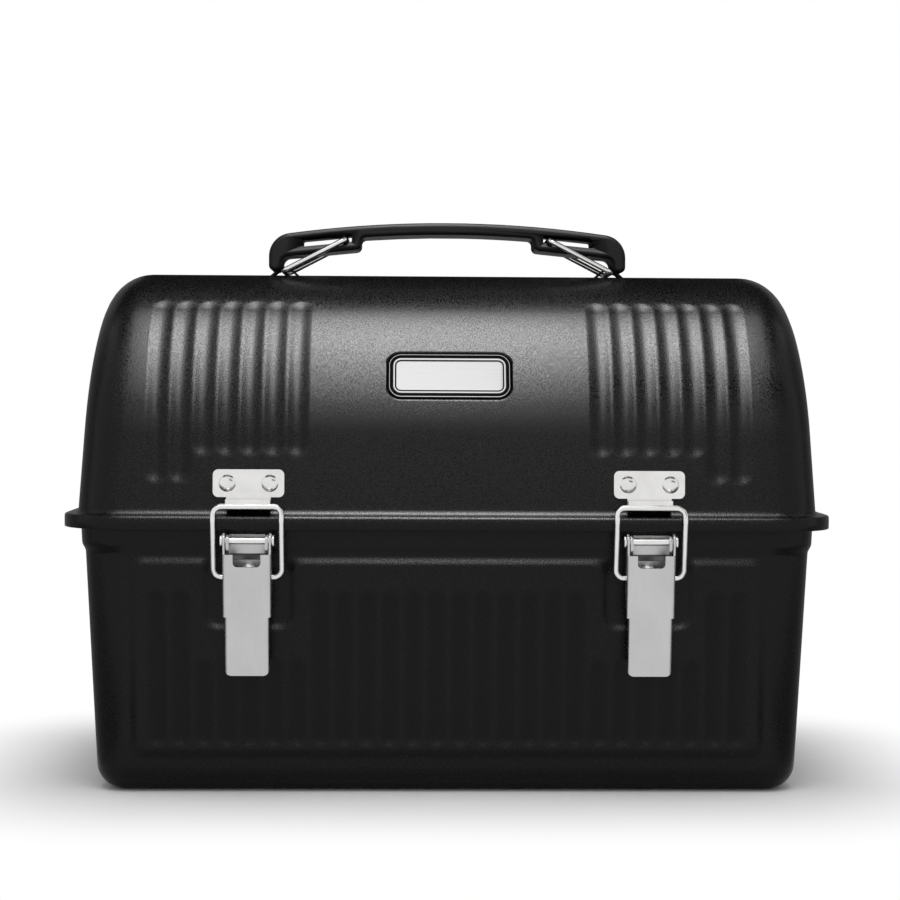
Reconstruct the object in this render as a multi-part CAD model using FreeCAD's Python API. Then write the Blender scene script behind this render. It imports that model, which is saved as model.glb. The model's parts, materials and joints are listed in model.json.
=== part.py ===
import FreeCAD, Part
import math
import os

V = FreeCAD.Vector
X_AXIS = V(1, 0, 0)
Z_AXIS = V(0, 0, 1)
ORIGIN = V(0, 0, 0)

# Domed sheet metal lunch box. Millimetres and degrees, +Z up, front at -Y.
# The origin is the middle of the flat bottom.

# Outline of the box, measured over the flange of the lid
box_length = 327.6
box_width = 162.6
flange_corner = 27.8
sheet = 0.8

# Tub
rim_height = 117.1
wall_draft = 3.0
foot_radius = 11.0
collar_low = 101.6
collar_high = 105.6
collar_step = 1.35
collar_inset = 0.7
rim_clearance = 1.2

# Lid
crown_height = 222.5
lid_gap = 0.3
flange_width = 6.05
skirt_height = 5.8
flange_edge_radius = 1.2
flange_root_radius = 4.6
lid_draft = 3.0
end_draft = 4.0
end_radius = 19.5

# Raised panels of the tub, with the pockets for the latches and hinges
panel_raise = 1.3
panel_low = 16.0
panel_high = 100.0
panel_margin = 2.5
panel_corner = 5.0
pocket_width = 35.0
pocket_low = 72.0

# Flutes pressed into the panels and the lid
flute_pitch = 9.8
flute_width = 7.4
flute_depth = 0.7
flute_low = 19.5
flute_high = 87.5
flute_pocket_gap = 14.0
lid_flute_start = 59.0
lid_flute_angle = 55.0
lid_flute_low = 131.5
lid_flute_catch_gap = 5.5
lid_flute_catch_side = 2.5
flute_end_margin = 9.0

# Badge and its recess
badge_angle = 22.6
badge_length = 51.2
badge_height = 19.5
badge_corner = 5.2
badge_thickness = 1.4
badge_rim = 0.6
badge_band = 0.9
badge_relief = 0.45
badge_clearance = 0.85
recess_depth = 1.7

# Latches
latch_x = 83.9
plate = 1.2
catch_width = 29.8
catch_top = 137.4
catch_wide_low = 125.8
catch_corner = 2.3
catch_rivet_spacing = 17.8
catch_rivet_height = 131.6
tongue_width = 18.6
hook_gap = 3.2
hook_low = 120.7
hook_lip_top = 124.9

loop_wire_radius = 1.2
loop_half_width = 14.2
loop_bar_height = 122.2
loop_corner = 3.5
loop_kink_radius = 5.0
loop_lip_gap = 0.3
loop_skirt_gap = 1.3
loop_end_inset = 0.9

lever_pin_radius = 1.5
lever_pin_out = 0.5
lever_pin_drop = 4.3
lever_tilt = 4.7
lever_sheet = 1.0
lever_width = 20.2
lever_tip_width = 18.5
lever_front = 4.2
lever_shoulder = 5.3
lever_notch_width = 11.5
lever_notch_depth = 5.2
lever_step = 31.6
lever_length = 56.2
lever_flange_length = 45.0
lever_ear_radius = 3.4
lever_ear_round = 0.97
lever_tip_corner = 2.7
lever_notch_corner = 1.8
loop_pivot_drop = 15.5
loop_pivot_inset = 1.3

base_low = 78.0
base_joggle = 100.0
base_joggle_rise = 2.5
base_joggle_step = 1.6
base_high = 110.6
base_ear_low = 89.0
base_ear_radius = 3.0
base_rivet_heights = (85.0, 95.5)
ear_clearance = 0.4

# Rear hinges
hinge_width = 32.0
hinge_out = 3.6
hinge_drop = 5.0
knuckle_radius = 2.5
hinge_pin_radius = 1.25
hinge_leaf_low = 79.0
hinge_leaf_bend = 100.5
hinge_lid_bend = 125.5
hinge_lid_high = 145.0
hinge_lid_rise = 6.5
hinge_lid_in = 1.9
hinge_rivet_spacing = 18.0
hinge_body_rivet_height = 88.0
hinge_lid_rivet_height = 136.0
knuckle_gap = 0.3
knuckle_relief = 0.4

# Rivets, pins and fits
rivet_head_radius = 3.6
rivet_head_height = 1.7
rivet_shank_radius = 1.6
rivet_tail_radius = 2.7
rivet_tail_height = 0.9
pin_head_radius = 2.5
pin_head_height = 0.8
pin_end_play = 0.25
seat_clearance = 0.05
running_clearance = 0.07

# Handle
grip_half_length = 80.2
grip_width = 24.0
grip_rise = 23.5
grip_thickness = 5.4
grip_arch_radius = 513.0
grip_shoulder_radius = 10.5
grip_edge_radius = 1.8
grip_foot_rise = 1.6
grip_foot_thickness = 5.6
grip_foot_radius = 2.6
grip_arch_corner = 3.5
block_inner = 38.8
block_outer_rise = 7.8
block_slope = 0.1
block_corner = 2.6
throat_radius = 2.2
slot_inner = 43.0
slot_outer = 65.5
slot_rise = 14.2
slot_height = 3.6
slot_corner = 0.8
link_wire_radius = 1.2
link_pivot_x = 73.3
link_lid_gap = 0.3
link_bar_x = 45.6
link_bar_drop = 0.4
link_side_gap = 0.8
link_corner = 2.5
staple_width = 10.0
staple_sheet = 1.0
staple_top_half = 1.7
staple_foot_half = 5.6
staple_clinch = 4.5
staple_clearance = 0.15
staple_bend = 0.2
staple_slot_clearance = 0.45
foot_notch_margin = 0.6

# Bottle bail inside the lid
bail_wire_radius = 1.5
bail_half_width = 46.0
bail_reach = 96.0
bail_height = 129.0
bail_wall_gap = 7.8
bail_corner = 5.0
bail_clip_x = 57.0
bail_clip_width = 9.0
bail_clip_high = 142.8
bail_clip_bend = 133.0
bail_clip_ring = 2.8
bail_rivet_height = 139.0
bail_end = 63.5

# Levels and half sizes that follow from the values above
lid_seat = rim_height + lid_gap
flange_top = lid_seat + sheet
skirt_low = flange_top - skirt_height
flat_half = box_length / 2 - flange_corner
lid_half_length = box_length / 2 - flange_width
lid_half_width = box_width / 2 - flange_width
draft_slope = math.tan(math.radians(wall_draft))
lid_slope = math.tan(math.radians(lid_draft))
lid_sin = math.sin(math.radians(lid_draft))
lid_cos = math.cos(math.radians(lid_draft))
end_slope = math.tan(math.radians(end_draft))
vault_drop = lid_half_width - (crown_height - flange_top) * lid_slope
vault_radius = vault_drop / (lid_cos - (1 - lid_sin) * lid_slope)
vault_centre = crown_height - vault_radius
flute_radius = (flute_width ** 2 / 4 + flute_depth ** 2) / (2 * flute_depth)
tub_half_width = (box_width / 2 - flange_width - collar_inset - collar_step
                  - rim_height * draft_slope)
pin_y = -(box_width / 2 + lever_pin_out)
pin_z = skirt_low - lever_pin_drop
over = 2.0


# Drawing helpers

def rounded_path(points, radii, closed=True):
    count = len(points)
    entry = list(points)
    leave = list(points)
    middle = [None] * count
    for i in range(count):
        if radii[i] <= 0:
            continue
        arrive = (points[i] - points[i - 1]).normalize()
        depart = (points[(i + 1) % count] - points[i]).normalize()
        turn = arrive.getAngle(depart)
        reach = radii[i] * math.tan(turn / 2)
        inward = (depart - arrive).normalize()
        entry[i] = points[i] - arrive * reach
        leave[i] = points[i] + depart * reach
        middle[i] = points[i] + inward * (radii[i] / math.cos(turn / 2) - radii[i])
    edges = []
    for i in range(count):
        if middle[i] is not None:
            edges.append(Part.Arc(entry[i], middle[i], leave[i]).toShape())
        after = (i + 1) % count
        if (closed or after) and leave[i].distanceToPoint(entry[after]) > 1e-6:
            edges.append(Part.LineSegment(leave[i], entry[after]).toShape())
    return Part.Wire(edges)


def face_of(pairs, radii):
    points = [V(a, b, 0) for a, b in pairs]
    return Part.Face(rounded_path(points, radii))


def rounded_rectangle(half_a, half_b, radius):
    pairs = [(-half_a, -half_b), (half_a, -half_b), (half_a, half_b), (-half_a, half_b)]
    return face_of(pairs, [radius] * 4)


def strip(pairs, thickness, bend):
    # Cross-section of a bent plate, drawn along its middle line.
    points = [V(a, b, 0) for a, b in pairs]
    last = len(points) - 1
    sides = ([], [])
    bends = ([], [])
    for i, point in enumerate(points):
        arrive = (points[max(i, 1)] - points[max(i, 1) - 1]).normalize()
        depart = (points[min(i, last - 1) + 1] - points[min(i, last - 1)]).normalize()
        normal = V(-arrive.y - depart.y, arrive.x + depart.x, 0)
        mitre = normal * (thickness / 2 / (1 + arrive.dot(depart)))
        turn = arrive.cross(depart).z
        for side, sign in enumerate((1, -1)):
            sides[side].append(point + mitre * sign)
            inner = bend if turn * sign > 0 else bend + thickness
            bends[side].append(inner if abs(turn) > 1e-6 else 0)
    ring = sides[0] + sides[1][::-1]
    return Part.Face(rounded_path(ring, bends[0] + bends[1][::-1]))


def along_x(face, start, end):
    # A face drawn as (y, z), pulled along X.
    turned = face.copy()
    turned.rotate(ORIGIN, V(1, 1, 1), 120)
    turned.translate(V(start, 0, 0))
    return turned.extrude(V(end - start, 0, 0))


def along_y(face, start, end):
    # A face drawn as (x, z), pulled along Y.
    turned = face.copy()
    turned.rotate(ORIGIN, X_AXIS, 90)
    turned.translate(V(0, start, 0))
    return turned.extrude(V(0, end - start, 0))


def rod_x(radius, start, end, y, z):
    return Part.makeCylinder(radius, end - start, V(start, y, z), X_AXIS)


def tube(path, radius):
    first = path.OrderedEdges[0]
    start = first.valueAt(first.FirstParameter)
    direction = first.tangentAt(first.FirstParameter)
    ring = Part.Wire(Part.makeCircle(radius, start, direction))
    return path.makePipeShell([ring], True, False)


def joined(shapes):
    return shapes[0].multiFuse(shapes[1:]).removeSplitter()


def moved(shape, x, y, z):
    copy = shape.copy()
    copy.translate(V(x, y, z))
    return copy


def turned_x(shape, angle):
    copy = shape.copy()
    copy.rotate(ORIGIN, X_AXIS, angle)
    return copy


def to_back(shape):
    copy = shape.copy()
    copy.rotate(ORIGIN, Z_AXIS, 180)
    return copy


# A wall's own frame has X along the box, -Y out of the wall and Z up the wall.

def on_tub_wall(shape):
    return moved(turned_x(shape, wall_draft), 0, -tub_half_width, 0)


def on_lid_wall(shape):
    return moved(turned_x(shape, -lid_draft), 0, -lid_half_width, flange_top)


def edges_at_height(shape, height):
    return [e for e in shape.Edges if all(abs(v.Z - height) < 1e-4 for v in e.Vertexes)]


# Rivets

def rivet(stack):
    # Seat of the head at the origin, head towards -Y.
    ball = (rivet_head_radius ** 2 + rivet_head_height ** 2) / (2 * rivet_head_height)
    lean = math.asin(rivet_head_radius / ball) / 2
    top = Part.Arc(V(0, 0, rivet_head_height),
                   V(ball * math.sin(lean), 0, rivet_head_height - ball * (1 - math.cos(lean))),
                   V(rivet_head_radius, 0, 0)).toShape()
    pairs = [(rivet_head_radius, 0), (rivet_shank_radius, 0), (rivet_shank_radius, -stack),
             (rivet_tail_radius, -stack), (rivet_tail_radius, -stack - rivet_tail_height),
             (0, -stack - rivet_tail_height), (0, rivet_head_height)]
    rest = Part.makePolygon([V(a, 0, b) for a, b in pairs])
    profile = Part.Face(Part.Wire([top] + rest.Edges))
    return turned_x(profile.revolve(ORIGIN, Z_AXIS, 360), 90)


def rivet_bore(stack):
    reach = stack + rivet_tail_height + over
    bore = Part.makeCylinder(rivet_shank_radius + seat_clearance, reach + over, V(0, 0, -reach))
    return turned_x(bore, 90)


# Flutes

def tub_flute_tool(low, high, grow):
    radius = flute_radius + grow
    bottom = low + flute_width / 2
    top = high - flute_width / 2
    out = panel_raise + flute_radius - flute_depth
    bead = Part.Wire([
        Part.Arc(V(0, 0, bottom - radius), V(radius * math.sqrt(0.5), 0, bottom - radius * math.sqrt(0.5)),
                 V(radius, 0, bottom)).toShape(),
        Part.LineSegment(V(radius, 0, bottom), V(radius, 0, top)).toShape(),
        Part.Arc(V(radius, 0, top), V(radius * math.sqrt(0.5), 0, top + radius * math.sqrt(0.5)),
                 V(0, 0, top + radius)).toShape(),
        Part.LineSegment(V(0, 0, top + radius), V(0, 0, bottom - radius)).toShape()])
    return moved(Part.Face(bead).revolve(ORIGIN, Z_AXIS, 360), 0, -out, 0)


def flute_places(start):
    places = []
    count = int((flat_half - flute_end_margin) / flute_pitch + 0.5)
    for i in range(count):
        x = (i + 0.5) * flute_pitch
        if x > start:
            places.append(x)
    return places


def tub_flutes(grow):
    tall = on_tub_wall(tub_flute_tool(flute_low, flute_high, grow))
    short = on_tub_wall(tub_flute_tool(flute_low, pocket_low - flute_pocket_gap, grow))
    tools = []
    for x in flute_places(0):
        beside = abs(x - latch_x) > (pocket_width + flute_width) / 2
        for sign in (-1, 1):
            tool = moved(tall if beside else short, sign * x, 0, 0)
            tools += [tool, to_back(tool)]
    return tools


def lid_flute_tool(low, grow):
    radius = flute_radius + grow
    path = vault_radius + flute_radius - flute_depth
    spring = math.radians(lid_draft)
    knee = V(0, -path * math.cos(spring), vault_centre + path * math.sin(spring))
    down = V(0, -math.sin(spring), -math.cos(spring))
    run = (knee.z - low - flute_width / 2) / math.cos(spring)
    foot = knee + down * run
    disc = Part.Face(Part.Wire(Part.makeCircle(radius, knee, down)))
    end_angle = math.radians(lid_flute_angle) - flute_width / 2 / vault_radius
    bent = disc.revolve(V(0, 0, vault_centre), X_AXIS, -math.degrees(end_angle - spring))
    head = V(0, -path * math.cos(end_angle), vault_centre + path * math.sin(end_angle))
    return joined([disc.extrude(down * run), bent, Part.makeSphere(radius, foot),
                   Part.makeSphere(radius, head)])


def lid_flutes(grow):
    long_tool = lid_flute_tool(lid_flute_low, grow)
    short_tool = lid_flute_tool(catch_top + lid_flute_catch_gap, grow)
    tools = []
    for x in flute_places(lid_flute_start):
        beside = abs(x - latch_x) > (catch_width + flute_width) / 2 + lid_flute_catch_side
        for sign in (-1, 1):
            tool = moved(long_tool if beside else short_tool, sign * x, 0, 0)
            tools += [tool, to_back(tool)]
    return tools


# Tub

def plan(inset, height):
    face = rounded_rectangle(box_length / 2 - inset, box_width / 2 - inset, flange_corner - inset)
    return moved(face, 0, 0, height)


def tub_inset(height):
    return flange_width + collar_inset + collar_step + (rim_height - height) * draft_slope


def tub_form(skin, top):
    # The tub's outside for skin 0, the hollow in it for skin equal to the sheet.
    wall = Part.makeLoft([plan(tub_inset(skin) + skin, skin).OuterWire,
                          plan(tub_inset(top) + skin, top).OuterWire], True, True)
    wall = wall.makeFillet(foot_radius - skin, edges_at_height(wall, skin))
    collar = Part.makeLoft([plan(tub_inset(collar_low) + skin, collar_low).OuterWire,
                            plan(tub_inset(collar_high) - collar_step + skin, collar_high).OuterWire,
                            plan(tub_inset(top) - collar_step + skin, top).OuterWire], True, True)
    raised = panel(skin)
    return wall.multiFuse([collar, raised, to_back(raised)])


def panel_outline(inset):
    side = flat_half - panel_margin - inset
    low = panel_low + inset
    high = panel_high - inset
    notch = pocket_low - inset
    near = latch_x - pocket_width / 2 - inset
    far = latch_x + pocket_width / 2 + inset
    right = [(side, low), (side, high), (far, high), (far, notch), (near, notch), (near, high)]
    left = [(-a, b) for a, b in right[::-1]]
    outer = panel_corner - inset
    inner = panel_corner + inset
    bends = [outer, outer, outer, inner, inner, outer]
    return face_of(right + left, bends + bends[::-1])


def panel(skin):
    root = sheet / 2
    wires = []
    for inset, out in ((-root, -root), (panel_raise, panel_raise)):
        face = turned_x(panel_outline(inset), 90)
        wires.append(moved(face, 0, skin - out, 0).OuterWire)
    return on_tub_wall(Part.makeLoft(wires, True, True))


def make_tub():
    rim = plan(sheet + rim_clearance, rim_height - sheet).extrude(V(0, 0, sheet))
    outside = tub_form(0, rim_height).fuse(rim).cut(tub_flutes(0))
    hollow = tub_form(sheet, rim_height + over).cut(tub_flutes(sheet))
    tub = outside.cut(hollow)
    return tub.cut(latch_base_bores() + hinge_body_bores())


# Lid

def dome(skin, low):
    radius = vault_radius - skin
    spring_y = radius * lid_cos
    spring_z = vault_centre + radius * lid_sin
    base_y = spring_y + (spring_z - low) * lid_slope
    section = Part.Wire([
        Part.LineSegment(V(-base_y, low, 0), V(-spring_y, spring_z, 0)).toShape(),
        Part.Arc(V(-spring_y, spring_z, 0), V(0, vault_centre + radius, 0),
                 V(spring_y, spring_z, 0)).toShape(),
        Part.LineSegment(V(spring_y, spring_z, 0), V(base_y, low, 0)).toShape(),
        Part.LineSegment(V(base_y, low, 0), V(-base_y, low, 0)).toShape()])
    vault = along_x(Part.Face(section), -box_length, box_length)
    ends = skin / math.cos(math.radians(end_draft))
    top = crown_height + over

    def reach(z):
        return lid_half_length - ends - (z - flange_top) * end_slope

    pairs = [(-reach(low), low), (reach(low), low), (reach(top), top), (-reach(top), top)]
    solid = vault.common(along_y(face_of(pairs, [0] * 4), -box_width, box_width))
    rims = []
    for edge in solid.Edges:
        on_end = all(abs(abs(v.X) - reach(v.Z)) < 1e-3 for v in edge.Vertexes)
        on_base = all(abs(v.Z - low) < 1e-3 for v in edge.Vertexes)
        if on_end and not on_base:
            rims.append(edge)
    return solid.makeFillet(end_radius - skin, rims)


def lid_form(skin, low):
    top = flange_top - skin
    brim = plan(skin, low).extrude(V(0, 0, top - low))
    brim = brim.makeFillet(flange_edge_radius - skin, edges_at_height(brim, top))
    form = brim.fuse(dome(skin, top - over))
    roots = []
    for edge in edges_at_height(form, top):
        inside_x = all(abs(v.X) < lid_half_length + skin + seat_clearance for v in edge.Vertexes)
        inside_y = all(abs(v.Y) < lid_half_width + skin + seat_clearance for v in edge.Vertexes)
        if inside_x and inside_y:
            roots.append(edge)
    return form.makeFillet(flange_root_radius + skin, roots)


def at_badge(shape):
    return moved(turned_x(shape, -badge_angle), 0, 0, vault_centre)


def badge_recess(grow):
    half_a = badge_length / 2 + badge_clearance + grow
    half_b = badge_height / 2 + badge_clearance + grow
    face = rounded_rectangle(half_a, half_b, badge_corner + badge_clearance + grow)
    floor = vault_radius - recess_depth - grow
    return at_badge(along_y(face, -(vault_radius + over), -floor))


def make_lid():
    outside = lid_form(0, skirt_low).cut(lid_flutes(0) + [badge_recess(0)])
    hollow = lid_form(sheet, skirt_low - over).cut(lid_flutes(sheet) + [badge_recess(sheet)])
    lid = outside.cut(hollow)
    openings = catch_bores() + hinge_lid_bores() + bail_bores()
    for sign in (-1, 1):
        openings += staple_slots(sign)
    return lid.cut(openings)


def make_badge():
    floor = vault_radius - recess_depth
    front = floor + badge_thickness
    plate_face = rounded_rectangle(badge_length / 2, badge_height / 2, badge_corner)
    body = along_y(plate_face, -front, -floor)
    edges = [e for e in body.Edges if all(abs(v.Y + front) < 1e-4 for v in e.Vertexes)]
    body = body.makeFillet(badge_relief, edges)
    rings = []
    for inset in (badge_rim, badge_rim + badge_band):
        rings.append(rounded_rectangle(badge_length / 2 - inset, badge_height / 2 - inset,
                                       badge_corner - inset))
    band = along_y(rings[0].cut(rings[1]), -front - over, -front + badge_relief)
    return at_badge(body.cut(band))


# Catch plates on the lid

def make_catch(sign):
    x = sign * latch_x
    low = catch_wide_low - flange_top
    top = catch_top - flange_top
    trough = hook_low - flange_top
    lip = hook_lip_top - flange_top
    mid = plate / 2
    lip_mid = plate + hook_gap + mid
    hook = strip([(-mid, top - catch_corner), (-mid, trough), (-lip_mid, trough), (-lip_mid, lip)],
                 plate, hook_gap / 2)
    tongue = along_x(hook, -tongue_width / 2, tongue_width / 2)
    pad = moved(rounded_rectangle(catch_width / 2, (top - low) / 2, catch_corner), 0, (top + low) / 2, 0)
    body = joined([tongue, along_y(pad, -plate, 0)])
    for bore_x in (-catch_rivet_spacing / 2, catch_rivet_spacing / 2):
        bore = moved(rivet_bore(plate), bore_x, -plate, catch_rivet_height - flange_top)
        body = body.cut(bore)
    return on_lid_wall(moved(body, x, 0, 0))


def catch_rivet_places():
    return [sign * latch_x + side * catch_rivet_spacing / 2 for sign in (-1, 1) for side in (-1, 1)]


def catch_bores():
    bore = rivet_bore(plate + sheet)
    return [on_lid_wall(moved(bore, x, -plate, catch_rivet_height - flange_top))
            for x in catch_rivet_places()]


def make_catch_rivets():
    pin = rivet(plate + sheet)
    return Part.makeCompound([on_lid_wall(moved(pin, x, -plate, catch_rivet_height - flange_top))
                              for x in catch_rivet_places()])


# Latch bases on the tub, with the lever pins

def in_tub_wall(y, z):
    # (out of the wall, up the wall) of a point given as (y, z).
    draft = math.radians(wall_draft)
    across = y + tub_half_width
    return (-across * math.cos(draft) - z * math.sin(draft),
            -across * math.sin(draft) + z * math.cos(draft))


def base_half_width():
    return lever_width / 2 - lever_sheet - ear_clearance


def make_latch_base(sign):
    mid = plate / 2
    front = mid + base_joggle_step
    bend = base_joggle + base_joggle_rise
    half = base_half_width()
    sheet_line = [(-mid, base_low), (-mid, base_joggle), (-front, bend), (-front, base_high)]
    parts = [along_x(strip(sheet_line, plate, mid), -half, half)]
    out, up = in_tub_wall(pin_y, pin_z)
    ear = face_of([(-mid, base_ear_low), (-out - base_ear_radius, up - base_ear_radius),
                   (-out - base_ear_radius, up + base_ear_radius), (-front, base_high),
                   (-front, bend), (-mid, base_joggle)],
                  [0, base_ear_radius - seat_clearance, base_ear_radius - seat_clearance, 0, 0, 0])
    parts.append(along_x(ear, half - plate, half))
    parts.append(along_x(ear, -half, plate - half))
    body = joined(parts)
    body = body.cut(rod_x(lever_pin_radius + seat_clearance, -half - over, half + over, -out, up))
    for height in base_rivet_heights:
        body = body.cut(moved(rivet_bore(plate), 0, -plate, height))
    return on_tub_wall(moved(body, sign * latch_x, 0, 0))


def latch_base_places():
    return [(sign * latch_x, height) for sign in (-1, 1) for height in base_rivet_heights]


def latch_base_bores():
    bore = rivet_bore(plate + sheet)
    return [on_tub_wall(moved(bore, x, -plate, height)) for x, height in latch_base_places()]


def make_latch_base_rivets():
    pin = rivet(plate + sheet)
    return Part.makeCompound([on_tub_wall(moved(pin, x, -plate, height))
                              for x, height in latch_base_places()])


def make_lever_pin(sign):
    x = sign * latch_x
    seat = lever_width / 2 + pin_end_play
    end = seat + pin_head_height
    parts = [rod_x(lever_pin_radius, x - end, x + end, pin_y, pin_z),
             rod_x(pin_head_radius, x - end, x - seat, pin_y, pin_z),
             rod_x(pin_head_radius, x + seat, x + end, pin_y, pin_z)]
    return joined(parts)


# Latch levers, drawn about the pin and then tilted towards the tub

def at_lever(shape, sign):
    return moved(turned_x(shape, lever_tilt), sign * latch_x, pin_y, pin_z)


def lever_channel(half, low, high):
    mid = lever_sheet / 2
    line = [(mid - half, lever_length), (mid - half, mid - lever_front),
            (half - mid, mid - lever_front), (half - mid, lever_length)]
    return moved(strip(line, lever_sheet, mid), 0, 0, low).extrude(V(0, 0, high - low))


def make_lever(sign):
    half = lever_width / 2
    tip = lever_tip_width / 2
    taper = half - tip
    ear = lever_ear_radius
    body = joined([lever_channel(half, -lever_step, ear), lever_channel(tip, -lever_length, -lever_step)])
    # Seen from the side: ears round the pin, then flanges that taper to a plain tip.
    front = -lever_front - over
    skin = lever_sheet - lever_front
    side = face_of([(front, -lever_length), (front, -lever_shoulder), (-ear, -lever_shoulder),
                    (-ear, ear), (ear, ear),
                    (loop_pivot_inset + 2 * loop_wire_radius, -loop_pivot_drop - 2 * loop_wire_radius),
                    (skin + lever_sheet, -lever_step), (skin + lever_sheet, -lever_flange_length),
                    (skin, -lever_flange_length - lever_sheet), (skin, -lever_length)],
                   [0, 0, lever_sheet, lever_ear_round * ear, lever_ear_round * ear,
                    2 * loop_wire_radius, 0, 0, 0, 0])
    body = body.common(along_x(side, -lever_width, lever_width))
    # Seen from the front: a step in the width and a round-cornered tip.
    outline = face_of([(-tip, -lever_length), (tip, -lever_length), (tip, -lever_step - taper),
                       (half, -lever_step), (half, ear), (-half, ear), (-half, -lever_step),
                       (-tip, -lever_step - taper)],
                      [lever_tip_corner, lever_tip_corner, 0, 0, 0, 0, 0, 0])
    body = body.common(along_y(outline, -lever_length, lever_length))
    web = Part.makeBox(lever_width - 2 * lever_sheet, lever_length, lever_length,
                       V(lever_sheet - half, -lever_length / 2, -lever_shoulder))
    notch_low = -lever_shoulder - lever_notch_depth
    notch = moved(rounded_rectangle(lever_notch_width / 2, lever_notch_depth, lever_notch_corner),
                  0, notch_low + lever_notch_depth, 0)
    body = body.cut([web, along_y(notch, -lever_length, lever_sheet - lever_front + seat_clearance),
                     rod_x(lever_pin_radius + running_clearance, -half - over, half + over, 0, 0),
                     rod_x(loop_wire_radius + running_clearance, -half - over, half + over,
                           loop_pivot_inset, -loop_pivot_drop)])
    return at_lever(body.removeSplitter(), sign)


def loop_pivot():
    tilt = math.radians(lever_tilt)
    return (pin_y + loop_pivot_inset * math.cos(tilt) + loop_pivot_drop * math.sin(tilt),
            pin_z + loop_pivot_inset * math.sin(tilt) - loop_pivot_drop * math.cos(tilt))


def loop_bar():
    # Level with the hook and just in front of its lip, so that the lid can lift.
    out = 2 * plate + hook_gap + loop_wire_radius + loop_lip_gap
    up = (loop_bar_height - flange_top - out * lid_sin) / lid_cos
    return -lid_half_width - out * lid_cos + up * lid_sin, loop_bar_height


def make_loop(sign):
    pivot_y, pivot_z = loop_pivot()
    bar_y, bar_z = loop_bar()
    kink_y = -(box_width / 2 + loop_wire_radius + loop_skirt_gap)
    kink_z = flange_top - loop_skirt_gap
    end = lever_width / 2 - lever_sheet - loop_end_inset
    half = loop_half_width
    right = [V(end, pivot_y, pivot_z), V(half, pivot_y, pivot_z), V(half, kink_y, kink_z),
             V(half, bar_y, bar_z)]
    left = [V(-p.x, p.y, p.z) for p in right[::-1]]
    bends = [0, loop_corner, loop_kink_radius, loop_corner]
    path = rounded_path(right + left, bends + bends[::-1], False)
    return moved(tube(path, loop_wire_radius), sign * latch_x, 0, 0)


# Rear hinges, drawn at the front and then turned to the back

hinge_y = -(box_width / 2 + hinge_out)
hinge_z = flange_top - hinge_drop


def tub_wall_y(z):
    return -(tub_half_width + z * draft_slope)


def lid_wall_y(z):
    return -(lid_half_width - (z - flange_top) * lid_slope)


def hinge_zones():
    third = hinge_width / 6
    half = hinge_width / 2
    gap = knuckle_gap / 2
    return [(-half, -third - gap)], [(-third + gap, third - gap)], [(third + gap, half)]


def leaf(pairs, own, other, bores):
    body = along_x(strip(pairs, plate, plate / 2), -hinge_width / 2, hinge_width / 2)
    for start, end in other:
        relief = rod_x(knuckle_radius + knuckle_relief, start - knuckle_gap, end + knuckle_gap,
                       hinge_y, hinge_z)
        body = body.cut(relief)
    knuckles = [rod_x(knuckle_radius, start, end, hinge_y, hinge_z) for start, end in own]
    body = joined([body] + knuckles)
    pin_bore = rod_x(hinge_pin_radius + running_clearance, -hinge_width, hinge_width, hinge_y, hinge_z)
    return body.cut([pin_bore] + bores)


def hinge_body_rivet_frames(shape):
    up = hinge_body_rivet_height
    return [on_tub_wall(moved(shape, side * hinge_rivet_spacing / 2, -plate, up)) for side in (-1, 1)]


def hinge_lid_rivet_frames(shape):
    up = hinge_lid_rivet_height - flange_top
    return [on_lid_wall(moved(shape, side * hinge_rivet_spacing / 2, -plate, up)) for side in (-1, 1)]


def placed_hinge(shape, sign):
    return to_back(moved(shape, -sign * latch_x, 0, 0))


def make_hinge_body_leaf(sign):
    first, middle, last = hinge_zones()
    mid = plate / 2 / math.cos(math.radians(wall_draft))
    pairs = [(tub_wall_y(hinge_leaf_low) - mid, hinge_leaf_low),
             (tub_wall_y(hinge_leaf_bend) - mid, hinge_leaf_bend), (hinge_y, hinge_z)]
    bores = hinge_body_rivet_frames(rivet_bore(plate))
    return placed_hinge(leaf(pairs, first + last, middle, bores), sign)


def make_hinge_lid_leaf(sign):
    first, middle, last = hinge_zones()
    mid = plate / 2 / lid_cos
    pairs = [(lid_wall_y(hinge_lid_high) - mid, hinge_lid_high),
             (lid_wall_y(hinge_lid_bend) - mid, hinge_lid_bend),
             (hinge_y + hinge_lid_in, hinge_z + hinge_lid_rise), (hinge_y, hinge_z)]
    bores = hinge_lid_rivet_frames(rivet_bore(plate))
    return placed_hinge(leaf(pairs, middle, first + last, bores), sign)


def make_hinge_pin(sign):
    seat = hinge_width / 2 + pin_end_play
    end = seat + pin_head_height
    parts = [rod_x(hinge_pin_radius, -end, end, hinge_y, hinge_z),
             rod_x(pin_head_radius - knuckle_relief, -end, -seat, hinge_y, hinge_z),
             rod_x(pin_head_radius - knuckle_relief, seat, end, hinge_y, hinge_z)]
    return placed_hinge(joined(parts), sign)


def hinge_body_bores():
    tools = hinge_body_rivet_frames(rivet_bore(plate + sheet))
    return [placed_hinge(tool, sign) for sign in (-1, 1) for tool in tools]


def hinge_lid_bores():
    tools = hinge_lid_rivet_frames(rivet_bore(plate + sheet))
    return [placed_hinge(tool, sign) for sign in (-1, 1) for tool in tools]


def make_hinge_body_rivets():
    pins = hinge_body_rivet_frames(rivet(plate + sheet))
    return Part.makeCompound([placed_hinge(pin, sign) for sign in (-1, 1) for pin in pins])


def make_hinge_lid_rivets():
    pins = hinge_lid_rivet_frames(rivet(plate + sheet))
    return Part.makeCompound([placed_hinge(pin, sign) for sign in (-1, 1) for pin in pins])


# Handle. Heights named rise are above the crown of the lid.

def grip_block_z(x):
    outer = grip_half_length - grip_foot_thickness
    return crown_height + block_outer_rise + (outer - x) * block_slope


def slot_middle_z(x):
    return crown_height + slot_rise + (slot_outer - x) * block_slope


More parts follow.
